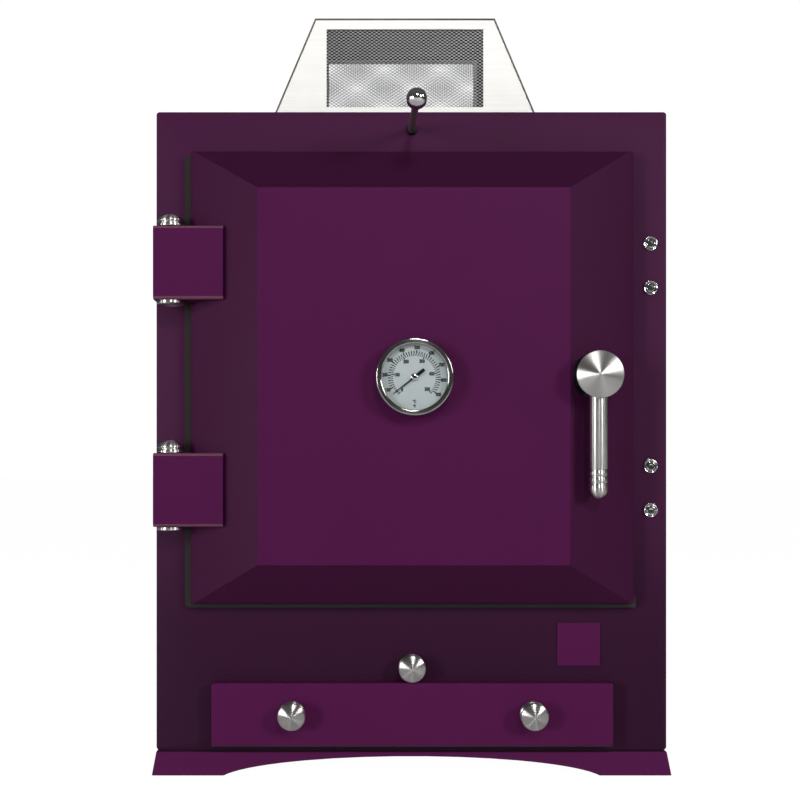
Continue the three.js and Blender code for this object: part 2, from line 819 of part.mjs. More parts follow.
// Net: a flat sheet with staggered diamond holes.
function makeNet(windowBottom, windowTop, y0) {
  const side = windowWidth / 2 + netLap;
  const sheet = box(-side, side, y0, y0 + netThickness, windowBottom - netLap, windowTop + netLap);
  const pitchX = windowWidth / netColumns;
  const pitchZ = windowHeight / netRows;
  const [holeWidthShare, holeHeightShare] = netHoleShares;
  const halfX = pitchX * holeWidthShare / 2;
  const halfZ = pitchZ * holeHeightShare / 2;
  const holes = [];
  const addHole = (x, z) => {
    const diamond = new THREE.CylinderGeometry(1, 1, 1, 4);
    holes.push(diamond.scale(halfX, 2 * overrun, halfZ).translate(x, y0, z));
  };
  for (let row = 0; row < netRows; row += 1) {
    const z = windowBottom + (row + 0.5) * pitchZ;
    for (let column = 0; column < netColumns; column += 1) {
      addHole(-windowWidth / 2 + (column + 0.5) * pitchX, z);
      if (row > 0 && column > 0) addHole(-windowWidth / 2 + column * pitchX, z - pitchZ / 2);
    }
  }
  return cutFrom(sheet, holes);
}

// A turned knob that stands forward from a face, with a pocket for its rod if that has one.
function makeKnob(name, x, faceDepth, z, pocket = 0) {
  const points = [
    [pocket / 2, 0],
    [knobBase / 2, 0],
    [knobBase / 2, knobBaseLength],
    [knobNeck / 2, knobBaseLength],
    [knobNeck / 2, knobNeckLength],
    [knobDiameter / 2, knobNeckLength + knobBaseLength],
    [knobDiameter / 2, knobLength - knobCrown],
    [knobDiameter / 4, knobLength - knobCrown / 4],
    [0, knobLength],
  ];
  if (pocket > 0) points.push([0, knobNeckLength], [pocket / 2, knobNeckLength], [pocket / 2, 0]);
  addPiece(name, turnedForward(points, x, faceDepth - seatGap, z), "stainless");
}

// Air slide: a slotted plate under the deck, with its rod and knob.
function makeAirSlide() {
  const y0 = airSlideStart;
  const plate = box(
    -airSlideWidth / 2, airSlideWidth / 2, y0, y0 + airSlideLength,
    slideBottom, slideTop,
  );
  addPiece("air_slide", cutFrom(plate, airSlots(slotPitch / 2)), "sheetSteel");
  addPiece(
    "air_rod", rodAlongY(airRodDiameter, 0, airKnobHeight, -knobNeckLength, y0 - seatGap), "stainless",
  );
  makeKnob("air_knob", 0, -seatGap, airKnobHeight, airKnobStem);
}

// Ash drawer: a tray behind a thick front with two knobs, on two runners.
function makeAshDrawer() {
  const half = drawerFrontWidth / 2;
  const slab = cushionedSlab(
    -half, half, drawerFrontBottom, drawerFrontTop,
    drawerFrontRadius, -drawerFrontDepth - seatGap, -seatGap,
  );
  addPiece("drawer_front", slab, "plumPaint");
  const side = drawerWidth / 2;
  const outer = box(-side, side, 0, drawerDepth, drawerBottom, drawerTop);
  const inner = box(
    -side + drawerWall, side - drawerWall, drawerWall, drawerDepth - drawerWall,
    drawerBottom + drawerWall, drawerTop + overrun,
  );
  addPiece("drawer_tray", cutFrom(outer, [inner]), "sheetSteel");
  const face = -drawerFrontDepth - seatGap;
  makeKnob("drawer_knob_left", -drawerKnobOffset, face, drawerKnobHeight);
  makeKnob("drawer_knob_right", drawerKnobOffset, face, drawerKnobHeight);
  for (const [name, sign] of [["drawer_runner_left", -1], ["drawer_runner_right", 1]]) {
    const low = skirtHeight + panWall + 2 * seatGap;
    const ends = [runnerStart, runnerStart + drawerDepth];
    const rail = box(side - runnerWidth, side + runGap, ...ends, low, drawerBottom - seatGap);
    const fence = box(side + runGap, side + runGap + runnerSheet, ...ends, low, drawerBottom + runnerFence);
    const runner = joined([rail, fence]);
    const turned = sign > 0 ? runner : runner.rotateZ(Math.PI).translate(0, ends[0] + ends[1], 0);
    addPiece(name, turned, "sheetSteel");
  }
}

// The door's outer form: an edge slab, a small step and the raised panel, grown by an offset.
function doorForm(inset, rearY) {
  const points = [];
  const addRectangle = (halfWidth, z0, z1, y) => {
    for (const x of [-halfWidth, halfWidth]) {
      for (const z of [z0, z1]) points.push(new THREE.Vector3(x, y, z));
    }
  };
  const half = doorWidth / 2 - inset;
  addRectangle(half, doorBottom + inset, doorTop - inset, rearY);
  addRectangle(half, doorBottom + inset, doorTop - inset, doorEdgeFront + inset);
  addRectangle(
    half - sideLip, doorBottom + inset + endLip, doorTop - inset - endLip,
    doorEdgeFront + inset - lipRise - sideLip * panelRise / sideSlope,
  );
  addRectangle(panelWidth / 2 - inset / 2, panelBottom + inset / 2, panelTop - inset / 2, panelFront + inset);
  return new ConvexGeometry(points);
}

// Door: a raised outer skin, insulation, an inner pan that plugs the opening, and a rope seal.
function makeDoor(group) {
  const spindleHole = rodAlongY(
    spindleDiameter + 2 * runGap, latchAxis, latchHeight, panelFront - overrun, plugDepth + overrun,
  );
  const stemHole = rodAlongY(
    stemDiameter + 2 * seatGap, 0, gaugeHeight, panelFront - overrun, plugDepth + overrun,
  );
  const skinHollow = doorForm(doorSheet, doorBack + overrun);
  addPiece(
    "door_skin", cutFrom(doorForm(0, doorBack), [skinHollow, spindleHole, stemHole]), "plumPaint", group,
  );

  const half = doorWidth / 2 - doorSheet - seatGap;
  const low = doorBottom + doorSheet + seatGap;
  const high = doorTop - doorSheet - seatGap;
  const plate = box(-half, half, doorBack - panThickness, doorBack, low, high);
  const plug = box(
    -plugWidth / 2, plugWidth / 2, doorBack - panThickness / 2, plugDepth, plugBottom, plugTop,
  );
  const plugHollow = box(
    -plugWidth / 2 + panThickness, plugWidth / 2 - panThickness,
    doorBack - overrun, plugDepth - panThickness,
    plugBottom + panThickness, plugTop - panThickness,
  );
  addPiece(
    "door_pan", cutFrom(joined([plate, plug]), [plugHollow, spindleHole, stemHole]), "sheetSteel", group,
  );

  const plugSide = plugWidth / 2 - panThickness - insulationSlack;
  const filling = joined([
    doorForm(doorSheet + insulationSlack, doorBack - panThickness - seatGap),
    box(
      -plugSide, plugSide, doorEdgeFront, plugDepth - panThickness - seatGap,
      plugBottom + panThickness + insulationSlack, plugTop - panThickness - insulationSlack,
    ),
  ]);
  addPiece("door_insulation", cutFrom(filling, [spindleHole, stemHole]), "wool", group);
  addPiece("door_seal", makeSeal(), "rope", group);
}

// Rope seal: a frame behind the door edge that peeks out at the left, at the bottom
// and with its end at the lower right corner.
function makeSeal() {
  const half = doorWidth / 2;
  const y0 = doorBack + seatGap;
  const y1 = -seatGap;
  const outer = joined([
    plateAlongY(
      roundedOutline(
        -half - sealSidePeek, half - sealTopInset, doorBottom - sealPeek, doorTop - sealTopInset, sealPeek,
      ),
      y0, y1,
    ),
    plateAlongY(
      roundedOutline(
        half - 2 * sealWidth,
        half + sealTailPeek,
        doorBottom - sealPeek,
        doorBottom + sealPeek,
        sealTopInset,
      ),
      y0, y1,
    ),
  ]);
  const inner = box(
    -half + sealWidth - sealSidePeek, half - sealTopInset - sealWidth, y0 - overrun, y1 + overrun,
    doorBottom + sealWidth - sealPeek, doorTop - sealTopInset - sealWidth,
  );
  return cutFrom(outer, [inner]);
}

// Hinge: a folded cover on the door, a knuckle on the cabinet, a domed pin and a bottom disc.
function makeHinge(suffix, centre, group) {
  const low = centre - coverHeight / 2;
  const high = centre + coverHeight / 2;
  const front = -pinForward - coverFront;
  const rear = -pinForward + coverEar;
  const fold = new THREE.Shape();
  fold.moveTo(rear, low);
  fold.lineTo(rear, low + coverSheet);
  fold.lineTo(front + coverSheet, low + coverSheet);
  fold.lineTo(front + coverSheet, high - coverSheet);
  fold.lineTo(rear, high - coverSheet);
  fold.lineTo(rear, high);
  fold.lineTo(front + coverBend, high);
  fold.absarc(front + coverBend, high - coverBend, coverBend, Math.PI / 2, Math.PI);
  fold.lineTo(front, low + coverBend);
  fold.absarc(front + coverBend, low + coverBend, coverBend, Math.PI, 1.5 * Math.PI);
  const folded = new THREE.ExtrudeGeometry(fold, {
    depth: coverLeft + coverRight,
    bevelEnabled: false,
    curveSegments: arcSteps,
  });
  folded.rotateX(Math.PI / 2).rotateZ(Math.PI / 2).translate(-pinAxis - coverLeft, 0, 0);
  const pinHole = rodAlongZ(pinDiameter + 2 * seatGap, -pinAxis, -pinForward, low - overrun, high + overrun);
  const doorRoom = doorForm(0, 0).translate(0, -seatGap, 0);
  const sideRoom = doorForm(0, 0).translate(-seatGap, 0, 0);
  const name = (piece) => `${piece}_${suffix}`;
  addPiece(name("hinge_cover"), cutFrom(folded, [pinHole, doorRoom, sideRoom]), "plumPaint", group);

  const knuckleLow = low + coverSheet + runGap;
  const knuckleHigh = high - coverSheet - runGap;
  const barrel = rodAlongZ(knuckleDiameter, -pinAxis, -pinForward, knuckleLow, knuckleHigh);
  const web = box(
    -pinAxis - knuckleWebLeft, -pinAxis + knuckleWebRight,
    -pinForward, -seatGap, knuckleLow, knuckleHigh,
  );
  const bore = rodAlongZ(
    pinDiameter + 2 * seatGap, -pinAxis, -pinForward, knuckleLow - overrun, knuckleHigh + overrun,
  );
  addPiece(name("hinge_knuckle"), cutFrom(joined([barrel, web]), [bore]), "darkPlumPaint");

  const discTop = low - seatGap;
  const pinEnd = discTop - bottomDiscThickness;
  const headLow = high + seatGap;
  const shank = rodAlongZ(pinDiameter, -pinAxis, -pinForward, pinEnd, headLow + headFlange / 2);
  const dome = [
    [0, 0],
    [headDiameter / 2, 0],
    [headDiameter / 2, headFlange],
    [headNeckDiameter / 2, headFlange],
    [headNeckDiameter / 2, headFlange + headNeck],
  ];
  for (let i = 0; i <= 2 * arcSteps; i += 1) {
    const turn = (i / (2 * arcSteps)) * Math.PI / 2;
    dome.push([headDiameter / 2 * Math.cos(turn), headFlange + headNeck + headDome * Math.sin(turn)]);
  }
  const head = new THREE.LatheGeometry(
    dome.map(([r, h]) => new THREE.Vector2(Math.abs(r) < seatGap ? 0 : r, h)), roundSides,
  );
  head.rotateX(Math.PI / 2).translate(-pinAxis, -pinForward, headLow);
  addPiece(name("hinge_pin"), joined([shank, head]), "stainless", group);
  const disc = rodAlongZ(headDiameter, -pinAxis, -pinForward, pinEnd, discTop);
  const discBore = rodAlongZ(
    pinDiameter + 2 * seatGap, -pinAxis, -pinForward, pinEnd - overrun, discTop + overrun,
  );
  addPiece(name("hinge_disc"), cutFrom(disc, [discBore]), "stainless", group);
}

// Latch: a fixed boss on the door, and a hub with its bar, spindle and tongue that turn.
function makeLatch(group) {
  const boss = rodAlongY(bossDiameter, latchAxis, latchHeight, -bossFront, doorEdgeFront, wideSides);
  const bore = rodAlongY(spindleDiameter + 2 * runGap, latchAxis, latchHeight, -bossFront - overrun, 0);
  const doorRoom = doorForm(0, doorBack).translate(0, -seatGap, 0);
  addPiece("latch_boss", cutFrom(boss, [doorRoom, bore]), "blackSteel", group);

  const hubRear = bossFront + seatGap;
  const profile = [
    [spindleDiameter / 2 + seatGap, hubRear],
    [hubDiameter / 2, hubRear],
    [hubDiameter / 2, hubFront],
    [discDiameter / 2, hubFront],
    [discDiameter / 2, hubFront + discEdge],
    [0, hubFront + discEdge + discCone],
    [0, hubRear + spindlePocket],
    [spindleDiameter / 2 + seatGap, hubRear + spindlePocket],
    [spindleDiameter / 2 + seatGap, hubRear],
  ];
  const hub = turnedForward(profile, latchAxis, 0, latchHeight, wideSides);
  const barTop = latchHeight - hubDiameter / 2 + barPocket;
  const pocket = rodAlongZ(
    barDiameter + 2 * seatGap, latchAxis, -barForward,
    latchHeight - hubDiameter / 2 - overrun, barTop + seatGap,
  );
  addPiece("latch_hub", cutFrom(hub, [pocket]), "stainless", group);

  const radius = barDiameter / 2;
  const end = -barLength;
  const barProfile = [[0, end]];
  for (let i = 1; i <= 2 * arcSteps; i += 1) {
    const turn = (i / (2 * arcSteps)) * Math.PI / 2;
    barProfile.push([radius * Math.sin(turn), end + radius * (1 - Math.cos(turn))]);
  }
  for (let i = 0; i < grooveCount; i += 1) {
    const low = end + grooveFirst + i * groovePitch - grooveWidth / 2;
    barProfile.push(
      [radius, low],
      [radius - grooveDepth, low],
      [radius - grooveDepth, low + grooveWidth],
      [radius, low + grooveWidth],
    );
  }
  barProfile.push([radius, barTop - latchHeight], [0, barTop - latchHeight]);
  const bar = new THREE.LatheGeometry(barProfile.map(([r, h]) => new THREE.Vector2(r, h)), roundSides);
  bar.rotateX(Math.PI / 2).translate(latchAxis, -barForward, latchHeight);
  addPiece("latch_bar", bar, "stainless", group);

  const spindleEnd = plugDepth + runGap + tongueThickness;
  const spindleFront = -hubRear - spindlePocket + seatGap;
  addPiece(
    "latch_spindle",
    rodAlongY(spindleDiameter, latchAxis, latchHeight, spindleFront, spindleEnd),
    "stainless",
    group,
  );
  const tongueReach = cavityWidth / 2 - tongueKeepClearance;
  const tongueFront = plugDepth + runGap;
  const blade = box(
    latchAxis - tongueWidth / 2, tongueReach, tongueFront, spindleEnd,
    latchHeight - tongueWidth / 2, latchHeight + tongueWidth / 2,
  );
  const eye = rodAlongY(
    spindleDiameter + 2 * seatGap, latchAxis, latchHeight, tongueFront - overrun, spindleEnd + overrun,
  );
  addPiece("latch_tongue", cutFrom(blade, [eye]), "sheetSteel", group);
}

function screwHeights() {
  const heights = [];
  const middle = doorMiddle + screwRise;
  for (const centre of [middle - screwPairSpread, middle + screwPairSpread]) {
    heights.push(centre - screwSpread, centre + screwSpread);
  }
  return heights;
}

// Jamb plate and the four cap screws in cup washers that hold it.
function makeJambScrews() {
  const heights = screwHeights();
  const low = Math.min(...heights) - jambPlateMargin;
  const high = Math.max(...heights) + jambPlateMargin;
  const front = fasciaWall + seatGap;
  const x1 = halfCabinet - fasciaWall - seatGap;
  const plate = box(x1 - jambPlateWidth, x1, front, front + jambPlateThickness, low, high);
  const holes = heights.map((z) => rodAlongY(screwShank + 2 * seatGap, screwAxis, z, -overrun, fasciaDepth));
  addPiece("jamb_plate", cutFrom(plate, holes), "sheetSteel");
  heights.forEach((z, i) => {
    const cup = cupHeight;
    const profile = [
      [0, -screwLength],
      [screwShank / 2, -screwLength],
      [screwShank / 2, seatGap],
      [cupDiameter / 2, seatGap],
      [cupDiameter / 2, cup],
      [cupRecess / 2, cup],
      [cupRecess / 2, cupFloor + seatGap],
      [capDiameter / 2, cupFloor + seatGap],
      [capDiameter / 2, capHeight],
      [0, capHeight],
    ];
    const body = turnedForward(profile, screwAxis, 0, z);
    const hexRadius = socketAcross / Math.sqrt(3);
    const socket = rodAlongY(2 * hexRadius, screwAxis, z, -capHeight - overrun, -capHeight + socketDepth, 6);
    addPiece(`jamb_screw_${i + 1}`, cutFrom(body, [socket]), "polished");
  });
}

// Thermometer: a case with its bezel and stem, a dial, a needle and a glass.
function makeThermometer(group) {
  const back = -panelFront + seatGap;
  const front = back + bezelDepth;
  const radius = bezelDiameter / 2;
  const inner = radius - caseWall;
  const profile = [
    [0, -stemReach],
    [stemDiameter / 2, -stemReach],
    [stemDiameter / 2, back],
    [radius - caseWall, back],
    [radius, back + caseWall],
    [radius, front - caseWall],
    [radius - caseWall, front],
    [radius - bezelLip, front - bezelLipThickness / 2],
    [radius - bezelLip, front - bezelLipThickness],
    [inner, front - bezelLipThickness],
    [inner, back + caseWall],
    [0, back + caseWall],
  ];
  addPiece("gauge_case", turnedForward(profile, 0, 0, gaugeHeight, wideSides), "polished", group);

  const dialBack = -(front - dialDepth);
  const disc = rodAlongY(
    2 * (inner - seatGap), 0, gaugeHeight, dialBack - dialThickness, dialBack, wideSides,
  );
  const shaftHole = rodAlongY(needleShaftBore, 0, gaugeHeight, dialBack - overrun, dialBack + overrun);
  addPiece("gauge_dial", cutFrom(disc, [shaftHole]), "dialFace", group);

  const glassFront = -(front - glassDepth);
  const glass = rodAlongY(
    2 * (inner - seatGap), 0, gaugeHeight, glassFront, glassFront + glassThickness, wideSides,
  );
  addPiece("gauge_glass", glass, "glass", group);

  const needleBack = dialBack - dialThickness - needleLift;
  const outline = polygonOutline([
    [needleLength, -needleTipWidth / 2],
    [needleLength, needleTipWidth / 2],
    [0, needleWidth / 2],
    [-needleTail, needleWidth],
    [-needleTail, -needleWidth],
    [0, -needleWidth / 2],
  ]);
  const blade = plateAlongY(outline, needleBack - needleThickness, needleBack);
  const turn = -needleRestDegrees * Math.PI / 180;
  blade.rotateY(turn).translate(0, 0, gaugeHeight);
  const hub = rodAlongY(needleHub, 0, gaugeHeight, needleBack - needleHubThickness, needleBack);
  const shaft = rodAlongY(
    needleShaft, 0, gaugeHeight, needleBack - needleThickness / 2, -back - caseWall - seatGap,
  );
  addPiece("gauge_needle", joined([blade, hub, shaft]), "needleBlack", group);
}

// Bare square plate where the real oven has its badge.
function makeSquarePlate() {
  const half = plateSide / 2;
  const outline = roundedOutline(
    plateAxis - half, plateAxis + half, plateHeight - half, plateHeight + half, plateThickness,
  );
  addPiece("square_plate", plateAlongY(outline, -plateThickness - seatGap, -seatGap), "plumPaint");
}

makeSkirt();
makeFloorPan();
makeFascia();
makeWrap();
makeBackPanel();
makeDeck();
makeFireBox();
makeInsulation();
makeGrate();
makeLadder("shelf_ladder_right", 1);
makeLadder("shelf_ladder_left", -1);
makeGrill("grill_lower", ladderSteps - 3);
makeGrill("grill_upper", ladderSteps - 1);
makeFluePipe();
makeDamper();
makeHood();
makeAirSlide();
makeAshDrawer();
makeJambScrews();
makeSquarePlate();

const door = new THREE.Group();
oven.add(door);
makeDoor(door);
makeHinge("upper", hingeCentre + hingeSpread, door);
makeHinge("lower", hingeCentre - hingeSpread, door);
makeLatch(door);
makeThermometer(door);

oven.position.set(0, (frontReach - skirtRear) / 2, 0);
const part = new THREE.Group();
part.add(oven);

export default part;
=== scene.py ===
"""Looks of the charcoal oven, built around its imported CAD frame. Metres."""

import json
import math

import bmesh
import bpy
from mathutils import Matrix, Vector

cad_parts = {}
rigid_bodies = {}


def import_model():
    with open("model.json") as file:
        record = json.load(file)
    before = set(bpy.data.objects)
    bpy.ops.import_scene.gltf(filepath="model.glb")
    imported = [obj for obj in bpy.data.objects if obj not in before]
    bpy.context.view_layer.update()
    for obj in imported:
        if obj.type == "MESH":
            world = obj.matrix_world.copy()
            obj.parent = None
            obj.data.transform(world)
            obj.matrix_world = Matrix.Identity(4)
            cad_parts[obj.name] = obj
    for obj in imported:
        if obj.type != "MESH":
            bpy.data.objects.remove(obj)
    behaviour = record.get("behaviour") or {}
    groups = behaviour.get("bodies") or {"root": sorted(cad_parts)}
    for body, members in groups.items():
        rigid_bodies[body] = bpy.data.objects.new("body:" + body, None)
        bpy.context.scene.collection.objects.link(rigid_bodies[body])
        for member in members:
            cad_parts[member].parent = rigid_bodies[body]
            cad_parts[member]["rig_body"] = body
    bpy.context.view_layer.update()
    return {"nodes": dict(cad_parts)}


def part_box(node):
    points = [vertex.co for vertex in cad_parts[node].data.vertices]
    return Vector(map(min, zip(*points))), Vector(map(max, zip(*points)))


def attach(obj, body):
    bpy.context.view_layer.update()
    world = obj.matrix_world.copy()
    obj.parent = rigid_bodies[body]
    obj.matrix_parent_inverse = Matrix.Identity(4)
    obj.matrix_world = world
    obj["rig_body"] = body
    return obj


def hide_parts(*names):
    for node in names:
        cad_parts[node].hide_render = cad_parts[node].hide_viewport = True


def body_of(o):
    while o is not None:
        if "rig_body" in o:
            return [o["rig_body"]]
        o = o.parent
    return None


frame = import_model()
nodes = frame["nodes"]

mm = 0.001
forward = Vector((0, -1, 0))
upward = Vector((0, 0, 1))
both_hinges = ("upper", "lower")
full_tone = 255
screen_gamma = 2.2
white = (1, 1, 1, 1)

same_point = 0.01 * mm
same_ring_point = 1e-7
flat_angle = math.radians(1)
bevel_angle = math.radians(25)
smooth_degrees = 35
turned_smooth_degrees = 40
fine_segments = 160


def srgb(red, green, blue):
    """A colour given as it looks on screen, as the linear colour that a shader takes."""
    return tuple((c / full_tone) ** screen_gamma for c in (red, green, blue)) + (1,)


# Materials


class Finish:
    """One material with its node tree, and short ways to add and join nodes."""

    def __init__(self, name):
        self.material = bpy.data.materials.new(name)
        self.material.use_nodes = True
        self.tree = self.material.node_tree
        self.shader = self.tree.nodes["Principled BSDF"]

    def add(self, kind, inputs=None, **settings):
        """A new node, with its settings and its inputs filled."""
        node = self.tree.nodes.new(kind)
        for key, value in settings.items():
            setattr(node, key, value)
        for key, value in (inputs or {}).items():
            self.feed(node.inputs[key], value)
        return node

    def feed(self, socket, value):
        """Links another node's socket, or sets a plain value."""
        if isinstance(value, bpy.types.NodeSocket):
            self.tree.links.new(value, socket)
        else:
            socket.default_value = value

    def put(self, **inputs):
        """Feeds the main shader. An underscore stands for a space in an input's name."""
        for key, value in inputs.items():
            self.feed(self.shader.inputs[key.replace("_", " ")], value)

    def where(self):
        """The place on the piece, in its own metres."""
        return self.add("ShaderNodeTexCoord").outputs["Object"]

    def stretched(self, vector, scale):
        return self.add("ShaderNodeMapping", {"Vector": vector, "Scale": scale}).outputs["Vector"]

    def noise(self, vector, scale, detail=3.0, rough=0.5):
        """Noise with so many patches per metre. detail counts its finer layers."""
        wanted = {"Vector": vector, "Scale": scale, "Detail": detail, "Roughness": rough}
        return self.add("ShaderNodeTexNoise", wanted).outputs["Fac"]

    def between(self, value, low, high, start=0.0, end=1.0):
        """low where the value is at its start, high where it is at its end, and even in between."""
        wanted = {"Value": value, "From Min": start, "From Max": end, "To Min": low, "To Max": high}
        return self.add("ShaderNodeMapRange", wanted).outputs["Result"]

    def sums(self, operation, first, second=0.0):
        """The result of one arithmetic operation."""
        node = self.add("ShaderNodeMath", operation=operation)
        self.feed(node.inputs[0], first)
        self.feed(node.inputs[1], second)
        return node.outputs[0]

    def blended(self, share, first, second):
        """The first colour at a share of 0, the second at 1."""
        node = self.add("ShaderNodeMix", data_type="RGBA")
        self.feed(node.inputs["Factor"], share)
        self.feed(node.inputs["A"], first)
        self.feed(node.inputs["B"], second)
        return node.outputs["Result"]

    def bumped(self, height, depth, strength=1.0, below=None):
        """A normal that follows a height. below is a coarser one under it."""
        wanted = {"Height": height, "Distance": depth, "Strength": strength}
        if below:
            wanted["Normal"] = below
        return self.add("ShaderNodeBump", wanted).outputs["Normal"]


def scaled(colour, share):
    """A colour made lighter or darker."""
    return tuple(c * share for c in colour[:3]) + (1,)


# The dark coat darkens to its foot colour between these heights: painted shade towards the bottom.
foot_shade_low = 0.165
foot_shade_high = 0.40
speck_colour = srgb(122, 84, 112)


def paint(name, colour, shaded_foot_colour=None, gloss=0.5):
    """Powder coat: a fine orange peel, faint clouding, and a few specks of dust. A foot colour, where given,
    is painted shade towards the bottom.
    """
    cloud_scale = 9
    speck_scale = 1400
    peel_scale = 620
    gloss_scale = 160
    darkest_cloud = 0.93
    lightest_cloud = 1.05
    peel_depth = 0.11 * mm
    peel_strength = 0.35
    speck_share = 0.35
    shine = 0.06
    f = Finish(name)
    place = f.where()
    shade = colour
    if shaded_foot_colour:
        height = f.add("ShaderNodeSeparateXYZ", {"Vector": place}).outputs["Z"]
        fade = f.add("ShaderNodeMapRange", {"Value": height}, interpolation_type="SMOOTHSTEP")
        for key, value in (("From Min", foot_shade_low), ("From Max", foot_shade_high)):
            fade.inputs[key].default_value = value
        shade = f.blended(fade.outputs["Result"], shaded_foot_colour, colour)
    clouds = f.between(f.noise(place, cloud_scale, 4), 0.35, 0.65, 0.3, 0.7)
    cloudy = f.blended(clouds, scaled(white, darkest_cloud), scaled(white, lightest_cloud))
    tinted = f.add("ShaderNodeMix", data_type="RGBA", blend_type="MULTIPLY")
    f.feed(tinted.inputs["Factor"], 1.0)
    f.feed(tinted.inputs["A"], shade)
    f.feed(tinted.inputs["B"], cloudy)
    specks = f.between(f.noise(place, speck_scale, 1), 0, speck_share, 0.71, 0.78)
    dusty = f.blended(specks, tinted.outputs["Result"], speck_colour)
    peel = f.bumped(f.noise(place, peel_scale, 2), peel_depth, peel_strength)
    rough = f.between(f.noise(place, gloss_scale, 3), gloss - 0.05, gloss + 0.07)
    f.put(Base_Color=dusty, Roughness=rough, Normal=peel, Specular_IOR_Level=shine)
    return f.material


roughness_low_share = 0.8
roughness_high_share = 1.2
across_the_rings = 0.25


def turned_metal(name, colour, roughness, anisotropy, groove=0.03 * mm, stain_share=0.9, lean=0.0):
    """Metal turned about the piece's own Z axis, with fine rings that may lean outward."""
    fine_scale = 5200
    broad_scale = 900
    smudge_scale = 70
    ring_share = 0.3
    ring_darkness = 0.7
    f = Finish(name)
    place = f.where()
    parts = f.add("ShaderNodeSeparateXYZ", {"Vector": place}).outputs
    square_x = f.sums("MULTIPLY", parts["X"], parts["X"])
    square_y = f.sums("MULTIPLY", parts["Y"], parts["Y"])
    radius = f.sums("SQRT", f.sums("ADD", square_x, square_y))
    rings = f.add("ShaderNodeCombineXYZ", {"X": radius, "Y": parts["Z"]}).outputs["Vector"]
    fine = f.noise(rings, fine_scale, 2)
    broad = f.noise(rings, broad_scale, 2)
    smudge = f.noise(place, smudge_scale, 4)
    tone = f.blended(smudge, scaled(colour, stain_share), colour)
    lined = f.blended(f.between(fine, 0, ring_share), tone, scaled(colour, ring_darkness))
    uneven = f.between(broad, roughness * roughness_low_share, roughness * roughness_high_share)
    rough = f.sums("ADD", uneven, f.between(smudge, 0, 0.04))
    tangent = f.add("ShaderNodeTangent", direction_type="RADIAL", axis="Z").outputs["Tangent"]
    leaning = f.bumped(f.sums("MULTIPLY", radius, -1.0), lean) if lean else None
    f.put(Base_Color=lined, Metallic=1.0, Roughness=rough, Normal=f.bumped(fine, groove, 0.4, leaning))
    f.put(Anisotropic=anisotropy, Anisotropic_Rotation=across_the_rings, Tangent=tangent)
    return f.material


def brushed_metal(name, colour, roughness, along, metallic=1.0, groove=0.04 * mm, anisotropy=0.5, stain=None):
    """Sheet brushed along one axis: long scratches, faint stains and finger marks."""
    scale_across = 900.0
    scale_along = 9.0
    smudge_scale = 14
    stain_share = 0.86
    scratch_share = 0.35
    scratch_darkness = 0.75
    f = Finish(name)
    place = f.where()
    scale = [scale_across, scale_across, scale_across]
    scale["xyz".index(along)] = scale_along
    lines = f.noise(f.stretched(place, scale), 1, 3)
    smudge = f.noise(place, smudge_scale, 4)
    tone = f.blended(f.between(smudge, 0, 1, 0.35, 0.7), stain or scaled(colour, stain_share), colour)
    lined = f.blended(f.between(lines, 0, scratch_share, 0.3, 0.8), tone, scaled(colour, scratch_darkness))
    uneven = f.between(lines, roughness * roughness_low_share, roughness * roughness_high_share)
    rough = f.sums("ADD", uneven, f.between(smudge, 0, 0.08))
    f.put(Base_Color=lined, Metallic=metallic, Roughness=rough, Normal=f.bumped(lines, groove, 0.5))
    f.put(Anisotropic=anisotropy)
    return f.material


def cast(name, colour):
    """Cast iron: a sandy skin that is rougher in places, with rust-brown warmth."""
    sand_scale = 700
    patch_scale = 26
    sand_depth = 0.6 * mm
    rust = srgb(74, 58, 50)
    f = Finish(name)
    place = f.where()
    grain = f.noise(place, sand_scale, 4, 0.7)
    patches = f.noise(place, patch_scale, 4)
    warm = f.blended(f.between(patches, 0, 0.5, 0.45, 0.75), colour, rust)
    rough = f.between(grain, 0.55, 0.85)
    f.put(Base_Color=warm, Metallic=0.45, Roughness=rough, Normal=f.bumped(grain, sand_depth, 0.6))
    return f.material


def wool(name, colour):
    """Mineral wool: matted short fibres."""
    fibre_scales = (900, 300, 900)
    tuft_scale = 60
    fibre_depth = 2 * mm
    f = Finish(name)
    place = f.where()
    fibres = f.noise(f.stretched(place, fibre_scales), 1, 5, 0.7)
    tufts = f.noise(place, tuft_scale, 3)
    tone = f.blended(fibres, scaled(colour, 0.6), colour)
    height = f.sums("ADD", fibres, tufts)
    normal = f.bumped(height, fibre_depth, 0.7)
    f.put(Base_Color=tone, Roughness=0.95, Normal=normal, Specular_IOR_Level=0.1)
    return f.material


def braid(name, colour):
    """Braided glass rope: crossed yarns."""
    yarn_turn = 0.8
    yarn_scale = 130.0
    yarn_depth = 0.8 * mm
    fluff_scale = 1500
    f = Finish(name)
    place = f.where()
    height = None
    for turn in (yarn_turn, -yarn_turn):
        wave = f.add("ShaderNodeMapping", {"Vector": place, "Rotation": (0, turn, 0)}).outputs["Vector"]
        wanted = {"Vector": wave, "Scale": yarn_scale, "Distortion": 0.6}
        band = f.add("ShaderNodeTexWave", wanted, wave_type="BANDS").outputs["Fac"]
        height = band if height is None else f.sums("MAXIMUM", height, band)
    fluff = f.noise(place, fluff_scale, 3)
    tone = f.blended(f.sums("MULTIPLY", height, fluff), scaled(colour, 0.45), colour)
    normal = f.bumped(height, yarn_depth, 0.8)
    f.put(Base_Color=tone, Roughness=0.9, Normal=normal, Specular_IOR_Level=0.15)
    return f.material


